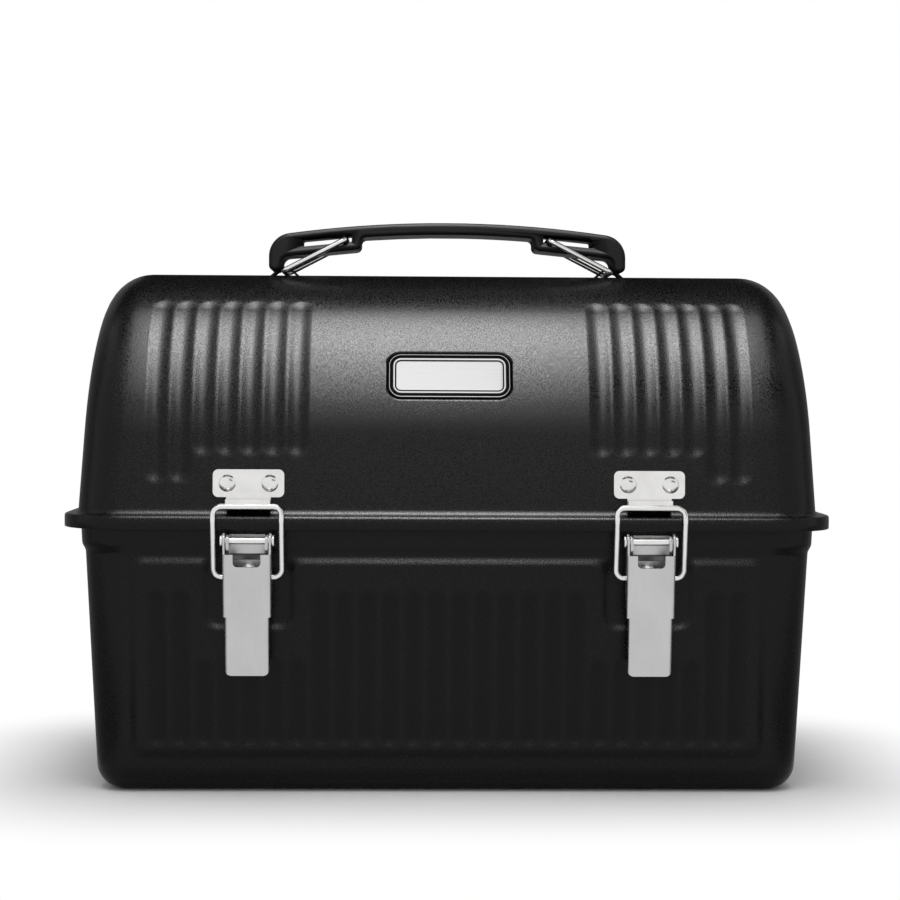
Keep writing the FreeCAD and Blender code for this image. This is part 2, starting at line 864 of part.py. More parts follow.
def arch_corner(arch, arch_radius, side_x, radius):
    # Round corner between an arch and an upright line at side_x, inside both.
    lean = side_x - radius
    centre = V(lean, arch.y + math.sqrt((arch_radius - radius) ** 2 - lean ** 2), 0)
    ray = (centre - arch).normalize()
    meet = centre + ray * radius
    middle = centre + (ray + X_AXIS).normalize() * radius
    return meet, middle, V(side_x, centre.y, 0)


def make_grip():
    top = crown_height + grip_rise
    arch = V(0, top - grip_arch_radius, 0)
    under_radius = grip_arch_radius - grip_thickness
    shoulder = arch_corner(arch, grip_arch_radius, grip_half_length, grip_shoulder_radius)
    throat = arch_corner(arch, under_radius, block_inner, throat_radius)
    foot_z = crown_height + grip_foot_rise
    foot_in = grip_half_length - grip_foot_thickness
    run = [shoulder[2], V(grip_half_length, foot_z, 0), V(foot_in, foot_z, 0),
           V(foot_in, grip_block_z(foot_in), 0), V(block_inner, grip_block_z(block_inner), 0),
           throat[2]]
    bends = [0, grip_foot_radius, grip_foot_radius, grip_arch_corner, block_corner, 0]
    right = rounded_path(run, bends, False).Edges
    right += [Part.Arc(*shoulder).toShape(), Part.Arc(*throat).toShape()]
    left = [e.mirror(ORIGIN, X_AXIS) for e in right]
    spine = Part.Arc(V(-shoulder[0].x, shoulder[0].y, 0), V(0, top, 0), shoulder[0]).toShape()
    belly = Part.Arc(V(-throat[0].x, throat[0].y, 0), V(0, top - grip_thickness, 0), throat[0]).toShape()
    edges = Part.sortEdges(right + left + [spine, belly])[0]
    body = along_y(Part.Face(Part.Wire(edges)), -grip_width / 2, grip_width / 2)
    rims = [e for e in body.Edges if all(abs(abs(v.Y) - grip_width / 2) < 1e-4 for v in e.Vertexes)]
    body = body.makeFillet(grip_edge_radius, [e for e in rims if abs(e.CenterOfMass.y) > grip_width / 4])
    for sign in (-1, 1):
        half = slot_height / 2
        pairs = [(sign * slot_inner, slot_middle_z(slot_inner) - half),
                 (sign * slot_outer, slot_middle_z(slot_outer) - half),
                 (sign * slot_outer, slot_middle_z(slot_outer) + half),
                 (sign * slot_inner, slot_middle_z(slot_inner) + half)]
        slot = along_y(face_of(pairs, [slot_corner] * 4), -grip_width, grip_width)
        body = body.cut([slot, foot_notch(sign)])
    return body


def link_pivot_z():
    return crown_height + link_wire_radius + link_lid_gap


def make_link(sign):
    side = grip_width / 2 + link_side_gap + link_wire_radius
    low = V(sign * link_pivot_x, 0, link_pivot_z())
    high = V(sign * link_bar_x, 0, slot_middle_z(link_bar_x) - link_bar_drop)
    across = V(0, side, 0)
    # The ring is drawn from the middle of its lower bar, so that no corner is its seam.
    points = [low, low + across, high + across, high - across, low - across]
    bends = [0, link_corner, link_corner, link_corner, link_corner]
    path = rounded_path(points, bends)
    first = path.OrderedEdges[0]
    ring = Part.Wire(Part.makeCircle(link_wire_radius, low, first.tangentAt(first.FirstParameter)))
    return Part.Solid(Part.Shell(path.makePipe(ring).Faces))


def staple_half_line():
    top = link_pivot_z() + link_wire_radius + staple_clearance + staple_sheet / 2
    under = crown_height - sheet - seat_clearance - staple_sheet / 2
    slope = (staple_foot_half - staple_top_half) / (top - crown_height)
    knee = staple_foot_half + (crown_height - under) * slope
    return [(staple_top_half, top), (knee, under), (knee + staple_clinch, under)]


def make_staple(sign):
    half = staple_half_line()
    line = [(-a, b) for a, b in half[::-1]] + half
    face = strip(line, staple_sheet, staple_bend)
    body = moved(along_y(face, -staple_width / 2, staple_width / 2), sign * link_pivot_x, 0, 0)
    # The clinched feet follow the inside of the vault.
    roof = Part.makeCylinder(vault_radius - sheet - seat_clearance, box_length,
                             V(-box_length / 2, 0, vault_centre), X_AXIS)
    strap_half = staple_foot_half + 2 * staple_sheet
    strap = Part.makeBox(2 * strap_half, staple_width, grip_rise,
                         V(sign * link_pivot_x - strap_half, -staple_width / 2,
                           crown_height - sheet - 2 * staple_sheet))
    return body.common(roof.fuse(strap))


def staple_slots(sign):
    leg = staple_half_line()[:2]
    wide = staple_sheet + 2 * staple_slot_clearance
    half = staple_width / 2 + staple_slot_clearance
    slots = []
    for side in (-1, 1):
        face = strip([(side * a, b) for a, b in leg], wide, 0)
        slots.append(moved(along_y(face, -half, half), sign * link_pivot_x, 0, 0))
    return slots


def foot_notch(sign):
    # Clearance in the grip's foot, which straddles the staple.
    top = staple_half_line()[0][1] + staple_sheet / 2 + foot_notch_margin
    half = staple_width / 2 + foot_notch_margin
    rise = top - crown_height
    reach = link_pivot_x + staple_foot_half - foot_notch_margin
    start = grip_half_length - 2 * grip_foot_thickness
    block = Part.makeBox(reach - start, 2 * half, rise, V(start, -half, crown_height))
    return block if sign > 0 else to_back(block)


# Bottle bail inside the lid, and its clips on the rear wall

def lid_inner_y(z):
    return -lid_wall_y(z) - sheet / lid_cos


def bail_y():
    return lid_inner_y(bail_height) - bail_wall_gap


def make_bail():
    right = [V(bail_end, bail_y(), bail_height), V(bail_half_width, bail_y(), bail_height),
             V(bail_half_width, bail_y() - bail_reach, bail_height)]
    left = [V(-p.x, p.y, p.z) for p in right[::-1]]
    bends = [0, bail_corner, bail_corner]
    return tube(rounded_path(right + left, bends + bends[::-1], False), bail_wire_radius)


def bail_rivet_frame(shape, sign):
    up = bail_rivet_height - flange_top
    return to_back(on_lid_wall(moved(shape, -sign * bail_clip_x, 0, up)))


def make_bail_clip(sign):
    mid = plate / 2 / lid_cos
    pairs = [(lid_inner_y(bail_clip_high) - mid, bail_clip_high),
             (lid_inner_y(bail_clip_bend) - mid, bail_clip_bend), (bail_y(), bail_height)]
    start = sign * bail_clip_x - bail_clip_width / 2
    end = sign * bail_clip_x + bail_clip_width / 2
    body = joined([along_x(strip(pairs, plate, plate / 2), start, end),
                   rod_x(bail_clip_ring, start, end, bail_y(), bail_height)])
    body = body.cut(rod_x(bail_wire_radius + running_clearance, start - over, end + over,
                          bail_y(), bail_height))
    return body.cut(bail_rivet_frame(rivet_bore(plate + sheet), sign))


def bail_bores():
    return [bail_rivet_frame(rivet_bore(plate + sheet), sign) for sign in (-1, 1)]


def make_bail_rivets():
    pin = rivet(plate + sheet)
    return Part.makeCompound([bail_rivet_frame(pin, sign) for sign in (-1, 1)])


# Build and write each piece

os.makedirs("parts", exist_ok=True)


def write(name, shape):
    shape.exportStep("parts/" + name + ".step")


write("body_tub", make_tub())
write("lid_shell", make_lid())
write("badge_plate", make_badge())
write("catch_rivets", make_catch_rivets())
write("latch_base_rivets", make_latch_base_rivets())
write("hinge_body_rivets", make_hinge_body_rivets())
write("hinge_lid_rivets", make_hinge_lid_rivets())
write("handle_grip", make_grip())
write("bottle_bail", make_bail())
write("bail_rivets", make_bail_rivets())
for side_name, side_sign in (("left", -1), ("right", 1)):
    write("catch_plate_" + side_name, make_catch(side_sign))
    write("latch_base_" + side_name, make_latch_base(side_sign))
    write("lever_pin_" + side_name, make_lever_pin(side_sign))
    write("latch_lever_" + side_name, make_lever(side_sign))
    write("latch_loop_" + side_name, make_loop(side_sign))
    write("hinge_body_leaf_" + side_name, make_hinge_body_leaf(side_sign))
    write("hinge_lid_leaf_" + side_name, make_hinge_lid_leaf(side_sign))
    write("hinge_pin_" + side_name, make_hinge_pin(side_sign))
    write("handle_link_" + side_name, make_link(side_sign))
    write("handle_staple_" + side_name, make_staple(side_sign))
    write("bail_clip_" + side_name, make_bail_clip(side_sign))
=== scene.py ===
import json
import math

import bmesh
import bpy
import numpy as np
from mathutils import Matrix, Vector

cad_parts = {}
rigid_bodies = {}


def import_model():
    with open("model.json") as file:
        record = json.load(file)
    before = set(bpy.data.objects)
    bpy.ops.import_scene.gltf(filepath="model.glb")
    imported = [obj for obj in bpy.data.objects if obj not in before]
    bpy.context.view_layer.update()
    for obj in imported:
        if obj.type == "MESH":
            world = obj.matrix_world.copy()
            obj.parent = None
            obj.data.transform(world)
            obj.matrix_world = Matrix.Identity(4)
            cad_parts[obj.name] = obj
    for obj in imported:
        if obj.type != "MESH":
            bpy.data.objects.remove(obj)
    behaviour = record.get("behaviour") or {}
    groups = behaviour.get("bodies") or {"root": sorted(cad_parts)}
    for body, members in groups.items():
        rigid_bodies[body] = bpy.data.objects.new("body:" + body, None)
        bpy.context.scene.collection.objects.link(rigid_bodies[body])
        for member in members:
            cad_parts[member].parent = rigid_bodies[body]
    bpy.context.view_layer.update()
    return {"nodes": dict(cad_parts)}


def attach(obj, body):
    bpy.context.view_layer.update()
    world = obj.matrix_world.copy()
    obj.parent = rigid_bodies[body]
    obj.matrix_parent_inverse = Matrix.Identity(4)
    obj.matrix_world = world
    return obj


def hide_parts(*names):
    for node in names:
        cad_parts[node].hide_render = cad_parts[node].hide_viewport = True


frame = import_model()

mm = 0.001
print("frame loaded:", len(frame["nodes"]), "pieces")


class Wire:
    # one output socket: arithmetic on it adds Math nodes to its tree
    def __init__(self, tree, socket=None):
        self.tree = tree
        self.socket = socket

    def fill(self, node, values):
        for key, value in values.items():
            if isinstance(value, Wire):
                self.tree.links.new(value.socket, node.inputs[key])
            else:
                node.inputs[key].default_value = value

    def node(self, kind, settings=None, values=None, out=0):
        made = self.tree.nodes.new(kind)
        for key, value in (settings or {}).items():
            setattr(made, key, value)
        self.fill(made, values or {})
        return Wire(self.tree, made.outputs[out])

    def math(self, operation, *others):
        return self.node("ShaderNodeMath", {"operation": operation}, dict(enumerate((self, *others))))

    def mixed(self, low, high):
        return self.node("ShaderNodeMix", {"data_type": "RGBA"}, {0: self, 6: low, 7: high}, out=2)

    def smooth(self, start, end):
        span = {"Value": self, "From Min": start, "From Max": end}
        return self.node("ShaderNodeMapRange", {"interpolation_type": "SMOOTHSTEP"}, span)

    def __add__(self, other):
        return self.math("ADD", other)

    def __sub__(self, other):
        return self.math("SUBTRACT", other)

    def __rsub__(self, other):
        return self.node("ShaderNodeMath", {"operation": "SUBTRACT"}, {0: other, 1: self})

    def __mul__(self, other):
        return self.math("MULTIPLY", other)

    def __truediv__(self, other):
        return self.math("DIVIDE", other)

    def __abs__(self):
        return self.math("ABSOLUTE")

    __radd__ = __add__
    __rmul__ = __mul__


# finishes: colours go from dark to pale over a pattern, and bump depths are in millimetres

noiseTurn = (0.7, 0.5, 0.3)   # so that no flat face lies along the noise's own grid


def newFinish(name):
    finish = bpy.data.materials.new(name)
    finish.use_nodes = True
    place = Wire(finish.node_tree).node("ShaderNodeTexCoord", out="Object")
    return finish, finish.node_tree.nodes["Principled BSDF"], place


def grain(place, scale, detail=2.0, stretch=(1.0, 1.0, 1.0)):
    spot = place.node("ShaderNodeMapping", values={"Vector": place, "Rotation": noiseTurn,
                                                   "Scale": stretch})
    return place.node("ShaderNodeTexNoise", values={"Vector": spot, "Scale": scale, "Detail": detail})


def around(pattern, spread):
    # a pattern of 0 to 1 as a change to either side
    return (pattern - 0.5) * spread


def bumped(height, look):
    return height.node("ShaderNodeBump", values={"Strength": look["bump"], "Height": height,
                                                 "Distance": look["bumpDepth"] * mm}, out="Normal")


def dress(shader, look, tone, change, height=None):
    values = {"Base Color": tone.mixed(look["dark"], look["pale"]), "Metallic": look["metal"],
              "Roughness": look["roughness"] + change}
    if height:
        values["Normal"] = bumped(height, look)
    if "gloss" in look:
        values["Specular IOR Level"] = look["gloss"]
    tone.fill(shader, values)


enamelLook = {"dark": (0.0020, 0.0020, 0.0022, 1), "pale": (0.0056, 0.0056, 0.0062, 1),
              "valleyShade": (0.0003, 0.0003, 0.0003, 1),   # painted shade: the colour deep in the flutes
              "roughness": 0.13, "fleck": 0.28, "fleckEdges": (0.32, 0.68), "cloudRoughness": 0.06,
              "cloudShare": 0.5, "gloss": 0.14, "speckleScale": 2300.0, "speckleDetail": 0.0,
              "cloudScale": 11.0, "bump": 1.0, "bumpDepth": 0.050}


def makeEnamel(look):
    finish, shader, place = newFinish("blackEnamel")
    speckle = grain(place, look["speckleScale"], look["speckleDetail"])
    cloud = grain(place, look["cloudScale"])
    fleck = speckle.smooth(*look["fleckEdges"])
    pressed = place.node("ShaderNodeAttribute", {"attribute_name": "pressed"}, out="Fac")
    tone = cloud * look["cloudShare"] + fleck * (1 - look["cloudShare"])
    unshadedTone = tone.mixed(look["dark"], look["pale"])
    rough = look["roughness"] + fleck * look["fleck"] + around(cloud, look["cloudRoughness"])
    # painted shade: the tone turns to the valley colour where the pressed attribute says the flutes are
    # deep
    place.fill(shader, {"Base Color": pressed.mixed(unshadedTone, look["valleyShade"]), "Roughness": rough,
                        "Normal": bumped(speckle, look), "Specular IOR Level": look["gloss"]})
    return finish


steelLook = {"dark": (0.44, 0.44, 0.445, 1), "pale": (0.60, 0.60, 0.605, 1), "metal": 1.0,
             "roughness": 0.34, "brushScale": 900.0, "brushDetail": 3.0,
             "brushStretch": (1.0, 1.0, 0.06),   # rolled along the height
             "brushRoughness": 0.12, "mottleScale": 70.0, "mottleShare": 0.65, "mottleRoughness": 0.10,
             "bump": 0.12, "bumpDepth": 0.05}


def makeSatinSteel(look):
    finish, shader, place = newFinish("satinSteel")
    brush = grain(place, look["brushScale"], look["brushDetail"], look["brushStretch"])
    mottle = grain(place, look["mottleScale"])
    tone = brush * (1 - look["mottleShare"]) + mottle * look["mottleShare"]
    change = around(brush, look["brushRoughness"]) + around(mottle, look["mottleRoughness"])
    dress(shader, look, tone, change, brush)
    return finish


nickelLook = {"dark": (0.66, 0.655, 0.645, 1), "pale": (0.84, 0.835, 0.825, 1), "metal": 1.0,
              "roughness": 0.22, "mottleScale": 160.0, "mottleDetail": 3.0, "mottleRoughness": 0.14,
              "fineScale": 1100.0, "bump": 0.10, "bumpDepth": 0.04}


def makeNickel(look):
    finish, shader, place = newFinish("brightNickel")
    mottle = grain(place, look["mottleScale"], look["mottleDetail"])
    fine = grain(place, look["fineScale"])
    dress(shader, look, mottle, around(mottle, look["mottleRoughness"]), fine)
    return finish


gripLook = {"dark": (0.005, 0.005, 0.006, 1), "pale": (0.011, 0.011, 0.012, 1), "metal": 0.0,
            "roughness": 0.40, "leatherScale": 1300.0, "cloudScale": 60.0, "cloudRoughness": 0.12,
            "gloss": 0.10, "bump": 0.20, "bumpDepth": 0.08}


def makeGripPlastic(look):
    finish, shader, place = newFinish("gripPlastic")
    leather = place.node("ShaderNodeTexVoronoi", values={"Vector": place, "Scale": look["leatherScale"]})
    cloud = grain(place, look["cloudScale"])
    dress(shader, look, cloud, around(cloud, look["cloudRoughness"]), leather)
    return finish


plateLook = {"dark": (0.78, 0.78, 0.78, 1), "pale": (0.91, 0.91, 0.905, 1), "metal": 1.0,
             "roughness": 0.30, "brushScale": 1200.0, "brushDetail": 3.0,
             "brushStretch": (0.04, 1.0, 1.0),   # brushed along the length
             "brushRoughness": 0.14, "bump": 0.10, "bumpDepth": 0.04}


def makeBadgeMetal(look):
    finish, shader, place = newFinish("badgeMetal")
    brush = grain(place, look["brushScale"], look["brushDetail"], look["brushStretch"])
    dress(shader, look, brush, around(brush, look["brushRoughness"]), brush)
    return finish


# ink of the badge's black band and thin line, also used as painted shade on the plate's outer side wall
inkAndShadeLook = {"dark": (0.003, 0.003, 0.003, 1), "pale": (0.006, 0.006, 0.006, 1), "metal": 0.0,
           "roughness": 0.45, "cloudScale": 500.0, "cloudRoughness": 0.1, "gloss": 0.08}


def makeBadgeInkAndShade(look):
    finish, shader, place = newFinish("badgeInkAndShade")
    cloud = grain(place, look["cloudScale"])
    dress(shader, look, cloud, around(cloud, look["cloudRoughness"]))
    return finish


blackEnamel = makeEnamel(enamelLook)
satinSteel = makeSatinSteel(steelLook)
brightNickel = makeNickel(nickelLook)
gripPlastic = makeGripPlastic(gripLook)
badgeMetal = makeBadgeMetal(plateLook)
badgeInkAndShade = makeBadgeInkAndShade(inkAndShadeLook)
print("finishes made")


# objects and node trees

def camel(node):
    words = node.split("_")
    return words[0] + "".join(word.title() for word in words[1:])


def newObject(name, content):
    made = bpy.data.objects.new(name, content)
    bpy.context.scene.collection.objects.link(made)
    return made


def plainMesh(piece):
    bpy.context.view_layer.update()
    graph = bpy.context.evaluated_depsgraph_get()
    baked = bpy.data.meshes.new_from_object(piece.evaluated_get(graph), preserve_all_data_layers=True,
                                            depsgraph=graph)
    piece.modifiers.clear()
    piece.data = baked
    return piece


def newTree(name, inputs):
    tree = bpy.data.node_groups.new(name, "GeometryNodeTree")
    tree.interface.new_socket("Geometry", in_out="OUTPUT", socket_type="NodeSocketGeometry")
    tree.interface.new_socket("Geometry", in_out="INPUT", socket_type="NodeSocketGeometry")
    for label, kind in inputs.items():
        tree.interface.new_socket(label, in_out="INPUT", socket_type="NodeSocket" + kind)
    tree.interface.new_socket("Finish", in_out="INPUT", socket_type="NodeSocketMaterial")
    entry = tree.nodes.new("NodeGroupInput")
    return Wire(tree), {plug.name: Wire(tree, plug) for plug in entry.outputs if plug.name}


def closeTree(start, shape, finish):
    whole = start.node("GeometryNodeRealizeInstances", values={0: shape})
    dressed = start.node("GeometryNodeSetMaterial", values={0: whole, "Material": finish})
    start.fill(start.tree.nodes.new("NodeGroupOutput"), {0: dressed})
    return start.tree


def runTree(piece, tree, values):
    step = piece.modifiers.new(tree.name, "NODES")
    step.node_group = tree
    for item in tree.interface.items_tree:
        if item.in_out == "INPUT" and item.name in values:
            step[item.identifier] = values[item.name]
    return plainMesh(piece)


def attribute(start, name, kind="FLOAT"):
    return start.node("GeometryNodeInputNamedAttribute", {"data_type": kind}, {"Name": name})


def storeNumbers(mesh, label, numbers):
    mesh.attributes.new(label, "FLOAT", "POINT").data.foreach_set("value", numbers)


def storeVectors(mesh, label, vectors):
    flat = [number for vector in vectors for number in vector]
    mesh.attributes.new(label, "FLOAT_VECTOR", "POINT").data.foreach_set("vector", flat)


def settle(piece, body, slot, *nodes):
    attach(piece, body)
    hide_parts(*nodes)
    return piece


def smoothShade(mesh, angle):
    mesh.shade_smooth()
    mesh.set_sharp_from_angle(angle=math.radians(angle))


def meshOf(name, shape):
    mesh = bpy.data.meshes.new(name)
    shape.to_mesh(mesh)
    shape.free()
    return mesh


class Skin:
    # a sheet metal surface in the making: points, faces and what the press tree reads
    def __init__(self):
        self.points = []
        self.faces = []
        self.along = []
        self.run = []
        self.outward = []

    def row(self, points, along, run, outward):
        first = len(self.points)
        self.points += [tuple(p) for p in points]
        self.along += list(along)
        self.run += list(run)
        self.outward += [tuple(v) for v in outward]
        return list(range(first, len(self.points)))

    def bridge(self, low, high, closed=True):
        count = len(low)
        for i in range(count if closed else count - 1):
            j = (i + 1) % count
            self.faces.append((low[i], low[j], high[j], high[i]))

    def bridgeAll(self, rows, closed=True):
        for low, high in zip(rows, rows[1:]):
            self.bridge(low, high, closed)

    def object(self, name):
        mesh = bpy.data.meshes.new(name)
        mesh.from_pydata([tuple(c * mm for c in p) for p in self.points], [], self.faces)
        storeNumbers(mesh, "along", self.along)
        storeNumbers(mesh, "run", self.run)
        storeVectors(mesh, "outward", self.outward)
        return newObject(name, mesh)


def spaced(*zones):
    # (end, step) zones from the first value on
    values = [zones[0]]
    for end, step in zones[1:]:
        count = max(1, round(abs(end - values[-1]) / step))
        values += list(np.linspace(values[-1], end, count + 1)[1:])
    return [float(v) for v in values]


def bothSides(half):
    # places from the middle out to the right, with the same ones to the left
    return [-x for x in half[:0:-1]] + half


# what the press trees share: flutes and round-cornered forms

fluteLook = {"pitch": 9.8, "width": 9.6, "depth": 0.75, "last": 12, "latchX": 83.9, "catchReach": 21.1,
             "bowlPower": 1.4, "topStretch": 0.8, "rowsAcross": 8}
fluteNames = ("Pitch", "Width", "Depth", "Last", "Latch X", "Catch Reach")


def floats(names):
    return {name: "Float" for name in names}


def lookValues(look, names):
    # the input named Panel Half reads the look's panelHalf
    return {name: float(look[name[0].lower() + name[1:].replace(" ", "")]) for name in names}


def fluteDepth(along, run, low, high, size):
    cell = (abs(along) / size["Pitch"]).math("FLOOR")
    side = abs(along) - (cell + 0.5) * size["Pitch"]
    half = size["Width"] * 0.5
    above = (run - high) * fluteLook["topStretch"] + half
    past = (low + half - run).math("MAXIMUM", above).math("MAXIMUM", 0.0)
    reach = (side * side + past * past).math("SQRT") / half
    bowl = (1.0 - reach * reach).math("MAXIMUM", 0.0).math("POWER", fluteLook["bowlPower"])
    pressed = cell.math("GREATER_THAN", size["First"] - 0.5) * cell.math("LESS_THAN", size["Last"] + 0.5)
    return bowl * pressed * size["Depth"]


# stores how much painted shade the enamel puts on each point
def markValleyShade(start, shape, amount):
    return start.node("GeometryNodeStoreNamedAttribute", {"data_type": "FLOAT", "domain": "POINT"},
                      {"Geometry": shape, "Name": "pressed", "Value": amount})


def nearLatch(along, size):
    centre = ((abs(along) / size["Pitch"]).math("FLOOR") + 0.5) * size["Pitch"]
    return abs(centre - size["Latch X"]).math("LESS_THAN", size["Catch Reach"])


def roundedInside(across, up, halfA, halfB, corner):
    # how far a point is inside a round-cornered rectangle, below 0 outside
    overA = abs(across) - (halfA - corner)
    overB = abs(up) - (halfB - corner)
    farA = overA.math("MAXIMUM", 0.0)
    farB = overB.math("MAXIMUM", 0.0)
    outside = (farA * farA + farB * farB).math("SQRT")
    within = overA.math("MAXIMUM", overB).math("MINIMUM", 0.0)
    return corner - outside - within


def moveAlong(start, shape, direction, amount):
    offset = start.node("ShaderNodeVectorMath", {"operation": "SCALE"},
                        {0: direction, "Scale": amount * mm})
    return start.node("GeometryNodeSetPosition", values={"Geometry": shape, "Offset": offset})


# tub

boxLook = {"halfLength": 163.8, "halfWidth": 81.3, "corner": 27.8, "sheet": 0.8, "draft": 3.0,
           "smooth": 50}
coreX = boxLook["halfLength"] - boxLook["corner"]   # centre of the corners' rounding
coreY = boxLook["halfWidth"] - boxLook["corner"]
tubLook = {**boxLook, "rim": 117.1, "foot": 11.0, "wallInset": 8.1, "collarLow": 101.6,
           "collarHigh": 105.6, "collarStep": 1.35, "rimInset": 2.0, "panelHalf": 133.5, "panelLow": 16.0,
           "panelHigh": 100.0, "panelCorner": 5.0, "panelRaise": 1.0, "panelEdge": (-1.2, 2.8),
           "pocketHalf": 17.5, "pocketLow": 72.0, "pocketBlend": 5.0, "first": 0, "fluteLow": 19.5,
           "fluteHigh": 87.5, "fluteShort": 58.0, "valleyShadePower": 0.6, "cornerSteps": 8, "footSteps": 8,
           "insideStep": 1.7}
tubNames = ("First", "Panel Half", "Panel Low", "Panel High", "Panel Corner", "Panel Raise", "Pocket Half",
            "Pocket Low", "Flute Low", "Flute High", "Flute Short")


def tubStations(look):
    # core point and outward direction of each station round the plan
    pitch, edge, steps = fluteLook["pitch"], look["panelHalf"], look["cornerSteps"]
    side = bothSides(spaced(0.0, (pitch * (fluteLook["last"] + 1), pitch / fluteLook["rowsAcross"]),
                            (edge - 3.3, 1.4), (edge + 1.5, 0.6), (coreX, 1.0)))
    turn = [math.radians(90 * i / steps) for i in range(1, steps)]
    half = [((x, -coreY), (0.0, -1.0)) for x in side]
    half += [((coreX, -coreY), (math.sin(a), -math.cos(a))) for a in turn]
    half += [((coreX, y), (1.0, 0.0)) for y in (-coreY, -coreY / 2, 0.0, coreY / 2, coreY)]
    half += [((coreX, coreY), (math.cos(a), math.sin(a))) for a in turn]
    return half + [((-x, -y), (-outX, -outY)) for (x, y), (outX, outY) in half]


def tubProfile(look, skin, heights):
    # (reach from the core, height, on the wall) from the bottom up to the rim
    lean = math.tan(math.radians(look["draft"]))
    low, steps = look["foot"], look["footSteps"]
    radius = low - skin

    def reach(z):
        step = min(max((z - look["collarLow"]) / (look["collarHigh"] - look["collarLow"]), 0.0), 1.0)
        step = look["collarStep"] * step * step * (3 - 2 * step)
        return look["corner"] - look["wallInset"] - (look["rim"] - z) * lean + step - skin

    centre = reach(low) + skin - low / math.cos(math.radians(look["draft"]))
    foot = []
    for i in range(steps + 1):
        angle = math.radians(-90 + (90 - look["draft"]) * i / steps)
        foot.append((centre + radius * math.cos(angle), low + radius * math.sin(angle), False))
    return foot + [(reach(z), z, True) for z in heights]


def tubZones(look):
    # (end, step) zones up the wall, close together where something is pressed
    short, pocket, high = look["fluteShort"], look["pocketLow"], look["fluteHigh"]
    return [(look["fluteLow"] + 5, 0.9), (short - 7, 4.0), (short + 1, 0.9), (pocket - 4, 2.6),
            (pocket + 3, 0.8), (high - 6, 1.8), (high + 1, 0.9), (look["panelHigh"] - 4, 1.8),
            (look["collarHigh"] + 1, 0.75), (look["rim"] - 2.1, 2.2)]


def rimOutline(look):
    # (reach, height) round the turned-out rim, from the outer wall to the inner one
    top, under = look["rim"], look["rim"] - look["sheet"]
    wall = look["corner"] - look["wallInset"] + look["collarStep"]
    rim = look["corner"] - look["rimInset"]
    return [(wall + 0.1, under - 0.5), (wall + 0.5, under - 0.05), (wall + 1.2, under), (rim - 0.4, under),
            (rim - 0.1, under + 0.12), (rim, top - 0.4), (rim - 0.1, top - 0.12), (rim - 0.4, top),
            (wall + 0.5, top), (wall - 0.3, top - 0.2), (wall - 0.7, top - 0.8)]


def tubSkin(look):
    stations = tubStations(look)
    skin = Skin()
    tilt = math.radians(look["draft"])

    def ring(reach, z, wall):
        points = [(core[0] + out[0] * reach, core[1] + out[1] * reach, z) for core, out in stations]
        pressed = [abs(out[1]) == 1.0 and wall for core, out in stations]
        outward = [(0.0, out[1] * math.cos(tilt), -math.sin(tilt)) if on else (0.0, 0.0, 0.0)
                   for on, (core, out) in zip(pressed, stations)]
        along = [core[0] for core, out in stations]
        return skin.row(points, along, [z / math.cos(tilt)] * len(stations), outward)

    zones, low = tubZones(look), look["foot"] - 0.1
    fine = spaced(low, *zones)
    plain = spaced(low, *[(end, look["insideStep"] * step) for end, step in zones])
    outer = [ring(*level) for level in tubProfile(look, 0.0, fine)]
    outer += [ring(reach, z, False) for reach, z in rimOutline(look)]
    inner = [ring(*level) for level in tubProfile(look, look["sheet"], plain)]
    rings = outer + inner[::-1]
    skin.bridgeAll(rings)
    skin.faces.append(tuple(rings[0][::-1]))
    skin.faces.append(tuple(rings[-1]))
    return skin


def pressTub(look):
    # a raised panel that runs out round the latch pockets, with flutes pressed into it; how deep each
    # flute is also sets the painted shade in the enamel
    start, size = newTree("pressTub", floats(fluteNames + tubNames))
    along = attribute(start, "along")
    run = attribute(start, "run")
    middle = (size["Panel High"] + size["Panel Low"]) * 0.5
    tall = (size["Panel High"] - size["Panel Low"]) * 0.5
    panel = roundedInside(along, run - middle, size["Panel Half"], tall, size["Panel Corner"])
    pocket = roundedInside(abs(along) - size["Latch X"], run - (size["Pocket Low"] + tall),
                           size["Pocket Half"], tall, size["Panel Corner"])
    inside = panel.math("SMOOTH_MIN", pocket * -1.0, look["pocketBlend"])
    raised = inside.smooth(*look["panelEdge"]) * size["Panel Raise"]
    high = size["Flute High"] + nearLatch(along, size) * (size["Flute Short"] - size["Flute High"])
    depth = fluteDepth(along, run, size["Flute Low"], high, size)
    # painted shade: darker the deeper the flute
    valleyShade = (depth / size["Depth"]).math("POWER", look["valleyShadePower"])
    shape = markValleyShade(start, size["Geometry"], valleyShade)
    shape = moveAlong(start, shape, attribute(start, "outward", "FLOAT_VECTOR"), raised - depth)
    return closeTree(start, shape, size["Finish"])


def makeTub(look):
    values = {**lookValues(fluteLook, fluteNames), **lookValues(look, tubNames), "Finish": blackEnamel}
    return runTree(tubSkin(look).object("tubShell"), pressTub(look), values)


# lid: angles are in degrees up from the front

lidLook = {**boxLook, "flange": 6.05, "flangeTop": 118.2, "skirtLow": 112.4, "edge": 1.2, "root": 2.6,
           "endDraft": 4.0, "crown": 222.5, "endRadius": 19.5, "first": 6, "fluteTop": 55.0,
           "fluteLow": 131.5, "fluteShort": 142.9, "badgeAngle": 22.6, "recessHalfA": 26.45,
           "recessHalfB": 10.6, "recessCorner": 6.05, "recessDepth": 1.7, "recessEdge": (-0.35, 0.55),
           "endSteps": 10, "insideStep": 1.8}
lidNames = ("First", "Recess Half A", "Recess Half B", "Recess Corner", "Recess Depth")
offFlutes = 500.0   # stands for a place along the lid that no flute reaches


